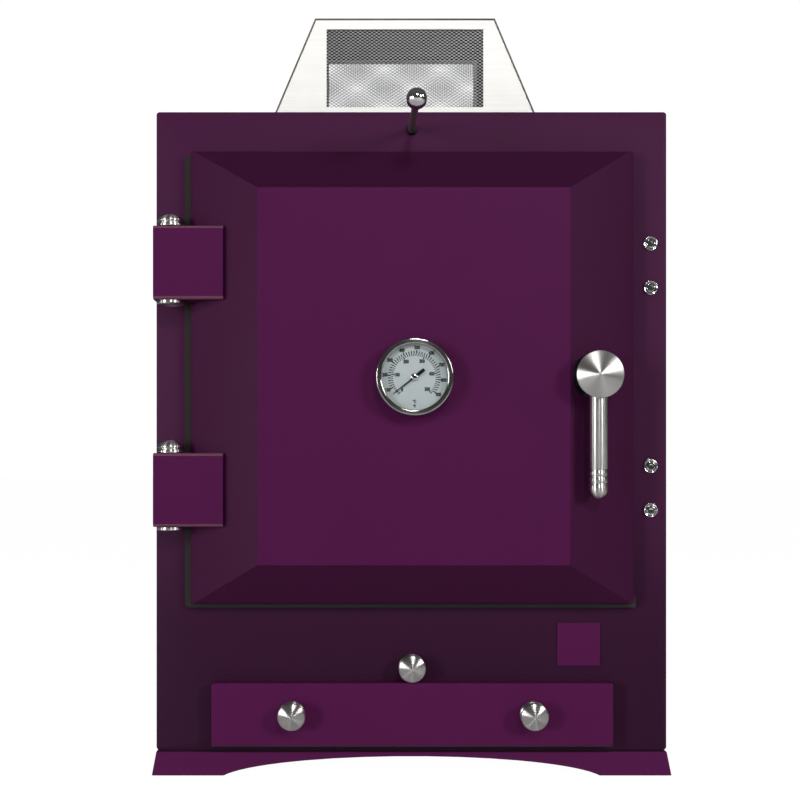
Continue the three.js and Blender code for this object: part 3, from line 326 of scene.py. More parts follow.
def enamel(name, colour, roughness=0.45):
    """An even, slightly grained enamel, for the dial plate, its marks and the needle."""
    cloud_scale = 90
    grain_scale = 3000
    grain_depth = 0.02 * mm
    f = Finish(name)
    place = f.where()
    clouds = f.noise(place, cloud_scale, 3)
    tone = f.blended(clouds, scaled(colour, 0.93), scaled(colour, 1.05))
    grain = f.noise(place, grain_scale, 2)
    f.put(Base_Color=tone, Roughness=f.between(grain, roughness - 0.05, roughness + 0.08))
    f.put(Normal=f.bumped(grain, grain_depth, 0.3), Specular_IOR_Level=0.3)
    return f.material


def clear_glass(name):
    """Thin flat glass: mostly clear, with a faint reflection and a trace of dust."""
    dust_scale = 500
    glass_tint = (0.97, 0.98, 0.98, 1)
    f = Finish(name)
    place = f.where()
    dust = f.between(f.noise(place, dust_scale, 3), 0.0, 0.02, 0.5, 0.8)
    clear = f.add("ShaderNodeBsdfTransparent", {"Color": glass_tint}).outputs["BSDF"]
    sheen = f.add("ShaderNodeBsdfGlossy", {"Color": white, "Roughness": 0.04}).outputs["BSDF"]
    facing = f.add("ShaderNodeLayerWeight", {"Blend": 0.25}).outputs["Fresnel"]
    share = f.sums("ADD", f.sums("MULTIPLY", facing, 0.3), dust)
    mix = f.add("ShaderNodeMixShader")
    f.feed(mix.inputs[0], share)
    f.feed(mix.inputs[1], clear)
    f.feed(mix.inputs[2], sheen)
    f.feed(f.tree.nodes["Material Output"].inputs["Surface"], mix.outputs["Shader"])
    return f.material


plum = paint("plum_powder_coat", srgb(75, 26, 66))
# A lighter copy of the plum coat for the pieces near the floor, where the light is weaker: painted light.
plum_lightened_low = paint("plum_powder_coat_lightened_low", srgb(80, 28, 70))
# Darker copies of the plum coat for the door's slopes: painted shade, one value for each slope direction.
plum_shaded_side_slope = paint("plum_powder_coat_shaded_side_slope", srgb(62, 24, 54))
plum_shaded_level_slope = paint("plum_powder_coat_shaded_level_slope", srgb(56, 22, 49))
plum_shaded_lower_slope = paint("plum_powder_coat_shaded_lower_slope", srgb(62, 24, 54))
# The dark coat's second colour is painted shade towards its foot.
dark_plum = paint("dark_plum_powder_coat", srgb(67, 31, 60), srgb(53, 26, 48))
# A lighter coat for the hinge covers' rounded bends: painted highlight.
plum_bend_highlight = paint("plum_powder_coat_bend_highlight", srgb(106, 68, 86))
# A lighter, greyer coat for the drawer front's folded lower edge: painted highlight.
plum_fold_highlight = paint("plum_powder_coat_fold_highlight", srgb(73, 50, 70))
steel_spun = turned_metal("spun_stainless_face", srgb(205, 203, 200), 0.33, 0.92, lean=0.3)
steel_turned = turned_metal("turned_stainless", srgb(205, 203, 200), 0.28, 0.97)
steel_drawn = turned_metal("drawn_stainless_rod", srgb(176, 172, 158), 0.4, 0.0)
steel_bezel = turned_metal("polished_bezel", srgb(190, 190, 188), 0.13, 0.85)
steel_bar = turned_metal("turned_stainless_bar", srgb(214, 212, 209), 0.3, 0.95)
steel_polished = turned_metal("polished_stainless", srgb(222, 221, 219), 0.09, 0.2, 0.008 * mm)
chrome = turned_metal("chrome_plate", srgb(228, 229, 230), 0.05, 0.0, 0.004 * mm)
black_metal = turned_metal("black_oxide_steel", srgb(34, 36, 42), 0.3, 0.3)
hood_steel = brushed_metal(
    "hood_brushed_stainless", srgb(254, 253, 250), 0.5, "x", 0.12, anisotropy=0.3, stain=srgb(249, 248, 244)
)
hood_edge = brushed_metal(
    "hood_cut_edge", srgb(128, 118, 104), 0.5, "z", 0.6, anisotropy=0.0, stain=srgb(84, 80, 78)
)
net_steel = brushed_metal("net_stainless", srgb(180, 181, 182), 0.4, "x", 0.3, anisotropy=0.0)
# Dark sheet: soot on the floor pan; soot and painted shade inside the hood.
soot_and_shade_steel = brushed_metal("soot_and_shade_steel", srgb(24, 23, 22), 0.7, "x", 0.3, anisotropy=0.2)
ladder_steel = brushed_metal("ladder_stainless", srgb(176, 172, 166), 0.32, "y")
sheet = brushed_metal("heat_dulled_sheet_steel", srgb(128, 126, 122), 0.45, "y", 0.9, stain=srgb(96, 84, 72))
iron = cast("cast_iron", srgb(44, 43, 44))
lagging = wool("mineral_wool", srgb(196, 178, 132))
rope = braid("glass_rope", srgb(70, 66, 66))
dial_enamel = enamel("dial_enamel", srgb(187, 193, 194))
ink = enamel("dial_ink", srgb(22, 24, 26), 0.6)
needle_paint = enamel("needle_black", srgb(14, 14, 15), 0.35)
glass = clear_glass("gauge_glass")


# Mesh helpers


def keep(piece, node, slot, *others):
    """The piece stands for a CAD node and moves with its body. Its slot is not used."""
    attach(piece, body_of(nodes[node])[0])
    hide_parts(node, *others)
    return piece


def new_object(name, work, *materials, smooth=True, sharp=smooth_degrees):
    """A bmesh as a shown object, smooth but for edges sharper than an angle in degrees."""
    for face in work.faces:
        face.smooth = smooth
    limit = math.radians(sharp)
    for edge in work.edges:
        edge.smooth = len(edge.link_faces) == 2 and edge.calc_face_angle(0) < limit
    mesh = bpy.data.meshes.new(name)
    work.to_mesh(mesh)
    work.free()
    for material in materials:
        mesh.materials.append(material)
    piece = bpy.data.objects.new(name, mesh)
    bpy.context.scene.collection.objects.link(piece)
    return piece


def rounded(piece, width, segments):
    """Rounds the piece's sharp edges."""
    bevel = piece.modifiers.new("edges", "BEVEL")
    bevel.width = width
    bevel.segments = segments
    bevel.limit_method = "ANGLE"
    bevel.angle_limit = bevel_angle
    return bevel


def dressed(node, material, slot, edge=0.8 * mm, segments=3, choose=None, framed=False):
    """A node's form with rounded edges. choose picks a material number for a face.

    framed cuts the large faces into triangles, so that one that runs round an opening stays open.
    """
    work = bmesh.new()
    work.from_mesh(nodes[node].data)
    bmesh.ops.remove_doubles(work, verts=work.verts, dist=same_point)
    bmesh.ops.dissolve_limit(work, angle_limit=flat_angle, verts=work.verts, edges=work.edges)
    if framed:
        bmesh.ops.triangulate(work, faces=[face for face in work.faces if len(face.verts) > 4])
    for layer in list(work.loops.layers.uv):
        work.loops.layers.uv.remove(layer)
    for face in work.faces:
        face.material_index = choose(face) if choose else 0
    materials = material if isinstance(material, (list, tuple)) else [material]
    piece = new_object(node + "_finished", work, *materials)
    if "custom_normal" in piece.data.attributes:
        piece.data.attributes.remove(piece.data.attributes["custom_normal"])
    bevel = rounded(piece, edge, segments)
    bevel.harden_normals = True
    bevel.use_clamp_overlap = True
    keep(piece, node, slot)


def hexagonal(across):
    """A function that gives a hexagon's radius at an angle, for a ring of a turned form."""

    def radius(angle):
        sixth = math.pi / 3
        return across / 2 / math.cos(angle % sixth - sixth / 2)

    return radius


def softened(profile, radius, steps=4):
    """A profile of radius and height with each corner rounded."""
    side_share = 0.45
    least_reach = 1e-6
    made = [profile[0]]
    for before, corner, after in zip(profile, profile[1:], profile[2:]):
        a, b, c = Vector(before), Vector(corner), Vector(after)
        reach = min(radius, (a - b).length * side_share, (c - b).length * side_share)
        if reach < least_reach:
            made.append(corner)
            continue
        start = b + (a - b).normalized() * reach
        end = b + (c - b).normalized() * reach
        for step in range(steps + 1):
            t = step / steps
            point = start.lerp(b, t).lerp(b.lerp(end, t), t)
            made.append((point.x, point.y))
    made.append(profile[-1])
    return made


def turned(name, profile, material, centre, direction=forward, segments=96):
    """A form turned about an axis. Each ring is a radius, or a radius by angle, and a height."""
    work = bmesh.new()
    rings = []
    for radius, height in profile:
        ring = []
        for i in range(segments):
            angle = 2 * math.pi * i / segments
            reach = radius(angle) if callable(radius) else radius
            ring.append(work.verts.new((reach * math.cos(angle), reach * math.sin(angle), height)))
        rings.append(ring)
    for low, high in zip(rings, rings[1:]):
        for i in range(segments):
            j = (i + 1) % segments
            work.faces.new((low[i], low[j], high[j], high[i]))
    bmesh.ops.remove_doubles(work, verts=work.verts, dist=same_ring_point)
    bmesh.ops.dissolve_degenerate(work, dist=same_ring_point, edges=work.edges)
    bmesh.ops.recalc_face_normals(work, faces=work.faces)
    piece = new_object(name, work, material, sharp=turned_smooth_degrees)
    turn = Vector(direction).to_track_quat("Z", "Y").to_matrix().to_4x4()
    piece.matrix_world = Matrix.Translation(centre) @ turn
    return piece


def foot_of(node):
    """The middle of the node's lower side."""
    low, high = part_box(node)
    return Vector(((low.x + high.x) / 2, (low.y + high.y) / 2, low.z))


def middle(node):
    """The middle of the node's box."""
    low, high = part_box(node)
    return (low + high) / 2


def size(node):
    """The node's size along x, y and z."""
    low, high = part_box(node)
    return high - low


def front_of(node):
    """The middle of the node's front side."""
    low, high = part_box(node)
    return Vector(((low.x + high.x) / 2, low.y, (low.z + high.z) / 2))


def back_of(node):
    """The middle of the node's rear side."""
    low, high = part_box(node)
    return Vector(((low.x + high.x) / 2, high.y, (low.z + high.z) / 2))


# Cabinet


def make_cabinet():
    # The skirt and the square plate take the lighter low coat, painted light.
    dressed("skirt", plum_lightened_low, "plum_paint", 1.2 * mm)
    dressed("fascia", dark_plum, "dark_plum_paint", 0.8 * mm, framed=True)
    dressed("wrap", dark_plum, "dark_plum_paint", 1.5 * mm)
    dressed("back_panel", dark_plum, "dark_plum_paint", 0.6 * mm)
    dressed("square_plate", plum_lightened_low, "plum_paint", 0.5 * mm)
    for suffix in both_hinges:
        dressed("hinge_knuckle_" + suffix, dark_plum, "dark_plum_paint", 1.0 * mm)


def make_inside():
    """What the cabinet holds. The flue pipe's edges stay nearly sharp, to clear the gate in its slot."""
    sheet_edge = 0.6 * mm
    dressed("floor_pan", soot_and_shade_steel, "sheet_steel", sheet_edge, 2)
    for node in (
        "deck", "fire_box", "air_slide", "damper_gate", "drawer_tray",
        "drawer_runner_left", "drawer_runner_right", "jamb_plate", "latch_tongue",
    ):
        dressed(node, sheet, "sheet_steel", sheet_edge, 2)
    dressed("flue_pipe", sheet, "sheet_steel", 0.2 * mm, 1)
    for node in ("shelf_ladder_left", "shelf_ladder_right"):
        dressed(node, ladder_steel, "stainless", sheet_edge, 2)
    dressed("charcoal_grate", iron, "cast_iron", 2 * mm)
    for node in ("grill_lower", "grill_upper"):
        dressed(node, iron, "cast_iron", 2.5 * mm, 4)
    for node in ("insulation", "door_insulation"):
        paint_node(node, lagging)


def paint_node(node, material):
    """Gives a CAD node that keeps its form a better material."""
    mesh = nodes[node].data
    mesh.materials.clear()
    mesh.materials.append(material)


def under_side(face):
    """1 for faces that look down and forward, which take a lighter coat as painted highlight, 0 for the rest.
    """
    lean = -0.3
    return 1 if face.normal.z < lean and face.normal.y < lean else 0


def make_drawer():
    """The drawer's front, with its lower edge folded back and its upper corners round. The fold takes a
    lighter coat as painted highlight, and the front the lighter low coat, painted light.
    """
    low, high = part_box("drawer_front")
    fold = 3.2 * mm
    corner_radius = 4 * mm
    work = bmesh.new()
    corners = [
        (low.y, high.z),
        (high.y, high.z),
        (high.y, low.z),
        (low.y + fold, low.z),
        (low.y, low.z + fold),
    ]
    ends = []
    for x in (low.x, high.x):
        ends.append([work.verts.new((x, y, z)) for y, z in corners])
    work.faces.new(ends[0])
    work.faces.new(list(reversed(ends[1])))
    for i in range(len(corners)):
        j = (i + 1) % len(corners)
        work.faces.new((ends[0][i], ends[1][i], ends[1][j], ends[0][j]))
    bmesh.ops.recalc_face_normals(work, faces=work.faces)
    top_corners = []
    for edge in work.edges:
        short = edge.calc_length() < 2 * (high.y - low.y)
        if short and min(vertex.co.z for vertex in edge.verts) > high.z - fold:
            top_corners.append(edge)
    bmesh.ops.bevel(work, geom=top_corners, offset=corner_radius, segments=5, profile=0.5, affect="EDGES")
    work.normal_update()
    for face in work.faces:
        face.material_index = under_side(face)
    piece = new_object("drawer_front_finished", work, plum_lightened_low, plum_fold_highlight)
    rounded(piece, 0.6 * mm, 3)
    keep(piece, "drawer_front", "plum_paint")


# Door


def slope_of(face):
    """0 for faces square to the door, 1 for its side slopes, 2 for the top slope, 3 for the bottom slope.
    Each slope takes its own darker copy of the coat: painted shade.
    """
    edge_limit = -0.2
    panel_limit = -0.995
    normal = face.normal
    if normal.y > edge_limit or normal.y < panel_limit:
        return 0
    if abs(normal.x) > abs(normal.z):
        return 1
    return 2 if normal.z > 0 else 3


def bend_of(face):
    """1 for the rounded bends of a hinge cover, which take a lighter coat as painted highlight, 0 for its
    flat faces.
    """
    least_tilt = 0.15
    greatest_tilt = 0.98
    tilted = least_tilt < abs(face.normal.z) < greatest_tilt
    return 1 if tilted and face.normal.y < -0.1 else 0


def make_door():
    # The slopes take darker copies of the coat as painted shade.
    paints = [plum, plum_shaded_side_slope, plum_shaded_level_slope, plum_shaded_lower_slope]
    dressed("door_skin", paints, "plum_paint", 1.0 * mm, 4, slope_of)
    dressed("door_pan", sheet, "sheet_steel", 1.2 * mm)
    dressed("door_seal", rope, "rope", 2.6 * mm, 5)
    # The hinge covers' bends take a lighter coat as painted highlight.
    for suffix in both_hinges:
        dressed("hinge_cover_" + suffix, [plum, plum_bend_highlight], "plum_paint", 0.5 * mm, 3, bend_of)


def make_hinge_pins():
    """Each pin has a collar, a narrower neck and a dome above its cover, and a disc below."""
    shaft = 6 * mm
    disc_hole = 6.3 * mm
    head_gap = 0.3 * mm
    neck_share = 0.86
    dome_foot_share = 0.97
    dome_share = 0.985
    dome_steps = 12
    for suffix in both_hinges:
        node = "hinge_pin_" + suffix
        low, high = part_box(node)
        cover_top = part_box("hinge_cover_" + suffix)[1].z
        wide = size(node).x / 2
        head = cover_top + head_gap - low.z
        total = high.z - low.z
        profile = [
            (0, 0),
            (shaft, 0),
            (shaft, head),
            (wide, head),
            (wide, head + 3.3 * mm),
            (wide * neck_share, head + 3.9 * mm),
            (wide * neck_share, head + 6.2 * mm),
        ]
        dome_start = head + 6.5 * mm
        dome_height = total - dome_start
        profile.append((wide * dome_foot_share, dome_start))
        for step in range(1, dome_steps + 1):
            turn = math.pi / 2 * step / dome_steps
            profile.append((wide * dome_share * math.cos(turn), dome_start + dome_height * math.sin(turn)))
        piece = turned(node + "_turned", softened(profile, 0.6 * mm), steel_bar, foot_of(node), upward)
        keep(piece, node, "stainless")

        disc = "hinge_disc_" + suffix
        thick = size(disc).z
        profile = [(disc_hole, 0), (wide, 0), (wide, thick), (disc_hole, thick), (disc_hole, 0)]
        piece = turned(disc + "_turned", softened(profile, 0.7 * mm), steel_bar, foot_of(disc), upward)
        keep(piece, disc, "stainless")


# Knobs and rods


# A knob's outline from its foot to its tip, as shares of its radius and of its depth.
knob_shares = (
    (0, 0), (0.6, 0), (0.6, 0.08),
    (0.94, 0.12), (0.98, 0.2), (0.94, 0.29),
    (0.72, 0.36), (0.72, 0.44),
    (0.93, 0.53), (1, 0.62), (1, 0.74), (0.95, 0.79),
    (0, 1),
)


def make_knobs():
    """Turned knobs with a rounded collar, a waist and a shallow cone in front."""
    for node in ("drawer_knob_left", "drawer_knob_right", "air_knob"):
        depth = size(node).y
        wide = size(node).x / 2
        profile = [(wide * across, depth * along) for across, along in knob_shares]
        profile = softened(profile, 1.6 * mm, 5)
        keep(turned(node + "_turned", profile, steel_turned, back_of(node)), node, "stainless")


def make_rods():
    """The damper's ball and bush, and the straight rods of the damper, the air slide and the latch."""
    rod_segments = 48
    ball_steps = 40
    socket_share = 0.06
    node = "damper_ball"
    radius = size(node).x / 2
    profile = []
    for step in range(ball_steps + 1):
        turn = math.pi * (socket_share + (1 - socket_share) * step / ball_steps)
        profile.append((radius * math.sin(turn), -radius * math.cos(turn)))
    centre = front_of(node) - forward * radius
    keep(turned(node + "_turned", profile, chrome, centre), node, "polished")

    metals = {"damper_rod": steel_drawn, "air_rod": steel_polished, "latch_spindle": steel_polished}
    for node, metal in metals.items():
        long = size(node).y
        wide = size(node).x / 2
        profile = softened([(0, 0), (wide, 0), (wide, long), (0, long)], 0.8 * mm)
        piece = turned(node + "_turned", profile, metal, back_of(node), segments=rod_segments)
        keep(piece, node, "stainless")

    node = "damper_bush"
    long = size(node).y
    wide = size(node).x / 2
    hole = size("damper_rod").x / 2 + 0.3 * mm
    shank = wide - 1.2 * mm
    collar = long - 2.5 * mm
    profile = [(hole, 0), (shank, 0), (shank, collar), (wide, collar), (wide, long), (hole, long), (hole, 0)]
    profile = softened(profile, 0.6 * mm)
    piece = turned(node + "_turned", profile, black_metal, back_of(node), segments=rod_segments)
    keep(piece, node, "stainless")


# Latch


def make_latch():
    """The boss, the hub with its brushed disc, and the hanging bar with three grooves."""
    dressed("latch_boss", black_metal, "black_steel", 1.5 * mm, 4)

    node = "latch_hub"
    back = back_of(node)
    depth = size(node).y
    wide = size(node).x / 2
    neck = 23 * mm
    cone = 2 * mm
    edge = 2.5 * mm
    spindle_hole = 6.3 * mm
    hole_depth = 9 * mm
    profile = [
        (spindle_hole, hole_depth),
        (spindle_hole, 0),
        (neck, 0),
        (neck, depth - cone - edge),
        (wide, depth - cone - edge),
        (wide, depth - cone),
        (0, depth),
    ]
    profile = softened(profile, 0.5 * mm)
    keep(turned(node + "_turned", profile, steel_spun, back, segments=fine_segments), node, "stainless")

    node = "latch_bar"
    wide = size(node).x / 2
    long = size(node).z
    end_steps = 14
    groove_heights = (18.5, 26.8, 35.1)
    half_groove = 0.9
    groove_depth = 1.2 * mm
    lip_depth = 0.35 * mm
    profile = [(0, 0)]
    for step in range(1, end_steps + 1):
        turn = math.pi / 2 * step / end_steps
        profile.append((wide * math.sin(turn), wide * (1 - math.cos(turn))))
    for groove_height in groove_heights:
        low_edge = (groove_height - half_groove) * mm
        high_edge = (groove_height + half_groove) * mm
        profile += [
            (wide, low_edge - 0.5 * mm),
            (wide - lip_depth, low_edge),
            (wide - groove_depth, low_edge + 0.2 * mm),
            (wide - groove_depth, high_edge - 0.2 * mm),
            (wide - lip_depth, high_edge),
            (wide, high_edge + 0.5 * mm),
        ]
    profile += [(wide, long), (0, long)]
    keep(turned(node + "_turned", profile, steel_bar, foot_of(node), upward), node, "stainless")


# Screws


def make_screws():
    """Cap screws with a hexagonal socket, each in a cup washer."""
    for number in range(1, 5):
        node = f"jamb_screw_{number}"
        back = back_of(node)
        long = size(node).y
        face = long - 3.4 * mm
        cup = size(node).x / 2
        rim = face + 2.4 * mm
        floor = face + 1.1 * mm
        cap = 4.9 * mm
        shank = 3 * mm
        profile = [
            (0, 0),
            (shank, 0),
            (shank, face + 0.3 * mm),
            (cup - 0.2 * mm, face + 0.3 * mm),
            (cup, rim - 0.9 * mm),
            (cup - 0.7 * mm, rim),
            (cup - 1.5 * mm, rim - 0.2 * mm),
            (cup - 2.3 * mm, floor),
            (cap + 0.2 * mm, floor),
            (cap, long - 0.6 * mm),
            (cap - 0.6 * mm, long),
        ]
        profile = softened(profile, 0.35 * mm)
        socket = hexagonal(5 * mm)
        profile += [(socket, long), (socket, long - 2.2 * mm), (0, long - 2.4 * mm)]
        keep(turned(node + "_turned", profile, chrome, back, segments=72), node, "polished")


# Hood


def hood_side(face):
    """1 for the rear plate's faces that look forward into the hood, which take the dark coat of soot and
    painted shade, 0 for the rest.
    """
    return 1 if face.normal.y < -0.9 else 0


def cover_side(face):
    """1 for the inner faces of the folded cover, darkened with soot and painted shade, 2 for its cut edges.
    """
    if abs(face.normal.y) > 0.5:
        return 2
    inward = Vector((-face.calc_center_median().x, 0, -1))
    return 1 if face.normal.dot(inward) > 0.3 else 0


def make_hood():
    dressed("hood_front", hood_steel, "stainless", 0.5 * mm)
    dressed("hood_rear", [hood_steel, soot_and_shade_steel], "stainless", 0.5 * mm, 2, hood_side)
    dressed("hood_cover", [hood_steel, soot_and_shade_steel, hood_edge], "stainless", 0.4 * mm, 2, cover_side)
    for node in ("net_front", "net_rear"):
        make_net(node)


def make_net(node):
    """A net of staggered oval holes, each in its own lozenge of sheet."""
    pitch_x = 6.9 * mm
    pitch_z = 4.66 * mm
    hole_share_x = 0.36
    hole_share_z = 0.32
    points = 12
    net_thickness = 0.8 * mm
    low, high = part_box(node)
    wide = high.x - low.x
    tall = high.z - low.z
    columns = round(wide / pitch_x)
    rows = round(tall / pitch_z)
    step_x = wide / columns
    step_z = tall / rows
    hole_x = step_x * hole_share_x
    hole_z = step_z * hole_share_z
    work = bmesh.new()
    y = (low.y + high.y) / 2 + net_thickness / 2

    def lozenge(cx, cz):
        outer = []
        inner = []
        for i in range(points):
            angle = 2 * math.pi * i / points
            c, s = math.cos(angle), math.sin(angle)
            share = 1 / (abs(c) + abs(s))
            outer.append(Vector((cx + step_x / 2 * c * share, y, cz + step_z / 2 * s * share)))
            inner.append(Vector((cx + hole_x * c, y, cz + hole_z * s)))
        for ring in (outer, inner):
            for point in ring:
                point.x = min(max(point.x, low.x), high.x)
                point.z = min(max(point.z, low.z), high.z)
        far = [work.verts.new(p) for p in outer]
        near = [work.verts.new(p) for p in inner]
        for i in range(points):
            j = (i + 1) % points
            work.faces.new((far[i], far[j], near[j], near[i]))

    for row in range(rows + 1):
        for column in range(columns + 1):
            lozenge(low.x + column * step_x, low.z + row * step_z)
            if row < rows and column < columns:
                lozenge(low.x + (column + 0.5) * step_x, low.z + (row + 0.5) * step_z)
    bmesh.ops.remove_doubles(work, verts=work.verts, dist=2 * same_point)
    bmesh.ops.dissolve_degenerate(work, dist=same_point, edges=work.edges)
    piece = new_object(node + "_expanded", work, net_steel)
    thick = piece.modifiers.new("thickness", "SOLIDIFY")
    thick.thickness = net_thickness
    thick.offset = 0
    keep(piece, node, "stainless")


# Thermometer


def make_thermometer():
    """The case with its bezel and stem, the dial, the glass and the needle."""
    stem = 3 * mm
    case_behind_dial = 9 * mm
    bezel_width = 7.2 * mm
    node = "gauge_case"
    wide = size(node).x / 2
    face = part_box("gauge_dial")[1].y
    start = back_of(node).y - face - case_behind_dial
    front = size(node).y
    profile = [
        (0, 0),
        (stem, 0),
        (stem, start),
        (wide - 2.5 * mm, start),
        (wide, start + 2.5 * mm),
        (wide, front - 1.6 * mm),
        (wide - 1.1 * mm, front - 0.2 * mm),
        (wide - 2 * mm, front),
        (wide - 5.8 * mm, front),
        (wide - 6.8 * mm, front - 0.4 * mm),
        (wide - bezel_width, front - 1.4 * mm),
        (wide - 7.4 * mm, front - 9 * mm),
        (wide - 7.4 * mm, front - 9.6 * mm),
        (wide - 3 * mm, front - 9.6 * mm),
    ]
    profile = softened(profile, 0.6 * mm)
    case = turned(node + "_turned", profile, steel_bezel, back_of(node), segments=fine_segments)
    keep(case, node, "polished")

    hole = 2 * mm
    thick = size("gauge_dial").y
    wide = size("gauge_dial").x / 2
    profile = softened([(hole, 0), (wide, 0), (wide, thick), (hole, thick)], 0.2 * mm)
    dial = turned("gauge_dial_plate", profile, dial_enamel, back_of("gauge_dial"), segments=128)
    keep(dial, "gauge_dial", "dial_face")
    make_dial_marks(front_of("gauge_dial"))

    thick = size("gauge_glass").y
    wide = size("gauge_case").x / 2 - bezel_width
    profile = softened([(0, 0), (wide, 0), (wide, thick), (0, thick)], 0.3 * mm)
    pane = turned("gauge_glass_pane", profile, glass, back_of("gauge_glass"), segments=128)
    keep(pane, "gauge_glass", "clear_glass")
    make_needle()


def outward(angle):
    """The direction at an angle on the dial, counted from its right side."""
    return Vector((math.cos(angle), 0, math.sin(angle)))


def sideways(angle):
    """The direction across the one at an angle on the dial."""
    return Vector((-math.sin(angle), 0, math.cos(angle)))


def bar_between(work, inner, outer, angle, width, lift, centre):
    """A thin printed line on the dial, from one radius to another."""
    along = outward(angle)
    across = sideways(angle)
    corners = []
    for reach, side in ((inner, -1), (outer, -1), (outer, 1), (inner, 1)):
        corners.append(centre + along * reach + across * side * width / 2 + forward * lift)
    work.faces.new([work.verts.new(corner) for corner in reversed(corners)])


number_width_share = 0.75
number_boldness_share = 0.065
number_height = 6 * mm
unit_height = 5 * mm
unit_drops = {"°C": 30, "°F": 36}


def add_number(work, text, place, height):
    """A number in the built-in font, made narrower and bolder and laid on the dial."""
    curve = bpy.data.curves.new("number", "FONT")
    curve.body = text
    curve.size = height
    curve.align_x = "CENTER"
    curve.align_y = "CENTER"
    curve.resolution_u = 3
    curve.offset = height * number_boldness_share
    holder = bpy.data.objects.new("number", curve)
    bpy.context.scene.collection.objects.link(holder)
    bpy.context.view_layer.update()
    shown = holder.evaluated_get(bpy.context.evaluated_depsgraph_get())
    mesh = bpy.data.meshes.new_from_object(shown)
    narrow = Matrix.Diagonal((number_width_share, 1, 1, 1))
    mesh.transform(Matrix.Translation(place) @ Matrix.Rotation(math.pi / 2, 4, "X") @ narrow)
    work.from_mesh(mesh)
    bpy.data.objects.remove(holder)
    bpy.data.curves.remove(curve)
    bpy.data.meshes.remove(mesh)


def make_dial_marks(centre):
    """Two generic temperature scales: the outer one up to nine hundred, the inner one up to five hundred."""
    work = bmesh.new()
    lift = 0.06 * mm
    on_dial = centre + forward * lift
    outer_start = math.radians(205.6)
    outer_step = math.radians(-30.2)
    outer_count = 9
    outer_ticks = 5
    outer_foot = 29.3 * mm
    outer_numbers = 36.6
    inner_start = math.radians(226)
    inner_step = math.radians(-53.8)
    inner_count = 6
    inner_ticks = 10
    inner_top = 29.1 * mm
    inner_numbers = 21.8
    for tick in range(outer_ticks * (outer_count - 1) + 1):
        angle = outer_start + outer_step * tick / outer_ticks
        long = tick % outer_ticks == 0
        top = (33.6 if long else 32.6) * mm
        width = (1.6 if long else 1.35) * mm
        bar_between(work, outer_foot, top, angle, width, lift, centre)
    for tick in range(inner_ticks * (inner_count - 1) + 1):
        angle = inner_start + inner_step * tick / inner_ticks
        long = tick % inner_ticks == 0
        foot = (25.2 if long else 26.4) * mm
        width = (1.4 if long else 1.1) * mm
        bar_between(work, foot, inner_top, angle, width, lift, centre)
    for number in range(outer_count):
        place = on_dial + outward(outer_start + outer_step * number) * outer_numbers * mm
        add_number(work, str(100 * (number + 1)), place, number_height)
    for number in range(inner_count):
        place = on_dial + outward(inner_start + inner_step * number) * inner_numbers * mm
        add_number(work, str(100 * number), place, number_height)
    for text, drop in unit_drops.items():
        add_number(work, text, on_dial - upward * drop * mm, unit_height)
    marks = new_object("dial_marks", work, ink, smooth=False)
    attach(marks, "door")


def make_needle():
    """A tapered blade with a broad tail, and a polished cap on its hub."""
    rest_angle = math.radians(218)
    blade_front = 0.5 * mm
    blade_rear = 1.4 * mm
    node = "gauge_needle"
    hub = Vector((middle("gauge_case").x, front_of(node).y, middle("gauge_case").z))
    along = outward(rest_angle)
    across = sideways(rest_angle)
    work = bmesh.new()
    outline = [(34, 0.35), (8, 0.95), (4, 1.2), (0, 1.6), (-4, 1.9), (-6, 2.1), (-15.5, 2.1)]
    ring = outline + [(reach, -side) for reach, side in reversed(outline)]
    top = []
    bottom = []
    for reach, side in ring:
        point = hub + (along * reach + across * side) * mm
        top.append(work.verts.new(point - forward * blade_front))
        bottom.append(work.verts.new(point - forward * blade_rear))
    work.faces.new(top)
    work.faces.new(list(reversed(bottom)))
    count = len(ring)
    for i in range(count):
        j = (i + 1) % count
        work.faces.new((top[i], bottom[i], bottom[j], top[j]))
    bmesh.ops.recalc_face_normals(work, faces=work.faces)
    blade = new_object("gauge_needle_blade", work, needle_paint)
    bevel = blade.modifiers.new("edges", "BEVEL")
    bevel.width = 0.15 * mm
    bevel.segments = 2
    keep(blade, node, "needle_black")

    pivot = 1.4 * mm
    cap_rear = -2.2 * mm
    profile = [
        (pivot, -6 * mm),
        (pivot, cap_rear),
        (4.9 * mm, cap_rear),
        (4.8 * mm, -1.2 * mm),
        (3.6 * mm, -0.4 * mm),
        (2 * mm, -0.1 * mm),
        (0, 0),
    ]
    cap = turned("gauge_needle_hub", softened(profile, 0.4 * mm), steel_polished, hub, segments=48)
    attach(cap, "needle")


make_cabinet()
make_inside()
make_drawer()
make_door()
make_hinge_pins()
make_knobs()
make_rods()
make_latch()
make_screws()
make_hood()
make_thermometer()


# Stage


def make_floor():
    """A wide pale floor just under the oven, seen as white."""
    reach = 60
    floor_height = -0.5 * mm
    cloud_scale = 3
    glow_strength = 1.05
    glow_share = 0.94
    work = bmesh.new()
    corners = [(-reach, -reach), (reach, -reach), (reach, reach), (-reach, reach)]
    work.faces.new([work.verts.new((x, y, floor_height)) for x, y in corners])
    f = Finish("pale_floor")
    eye = f.add("ShaderNodeLightPath").outputs["Is Camera Ray"]
    clouds = f.noise(f.where(), cloud_scale, 2)
    tone = f.blended(clouds, (0.78, 0.78, 0.78, 1), (0.8, 0.8, 0.8, 1))
    f.put(Base_Color=tone, Roughness=0.9, Specular_IOR_Level=0.0)
    glow = f.add("ShaderNodeEmission", {"Color": white, "Strength": glow_strength}).outputs["Emission"]
    mix = f.add("ShaderNodeMixShader")
    f.feed(mix.inputs[0], f.sums("MULTIPLY", eye, glow_share))
    f.feed(mix.inputs[1], f.shader.outputs["BSDF"])
    f.feed(mix.inputs[2], glow)
    f.feed(f.tree.nodes["Material Output"].inputs["Surface"], mix.outputs["Shader"])
    new_object("floor", work, f.material)


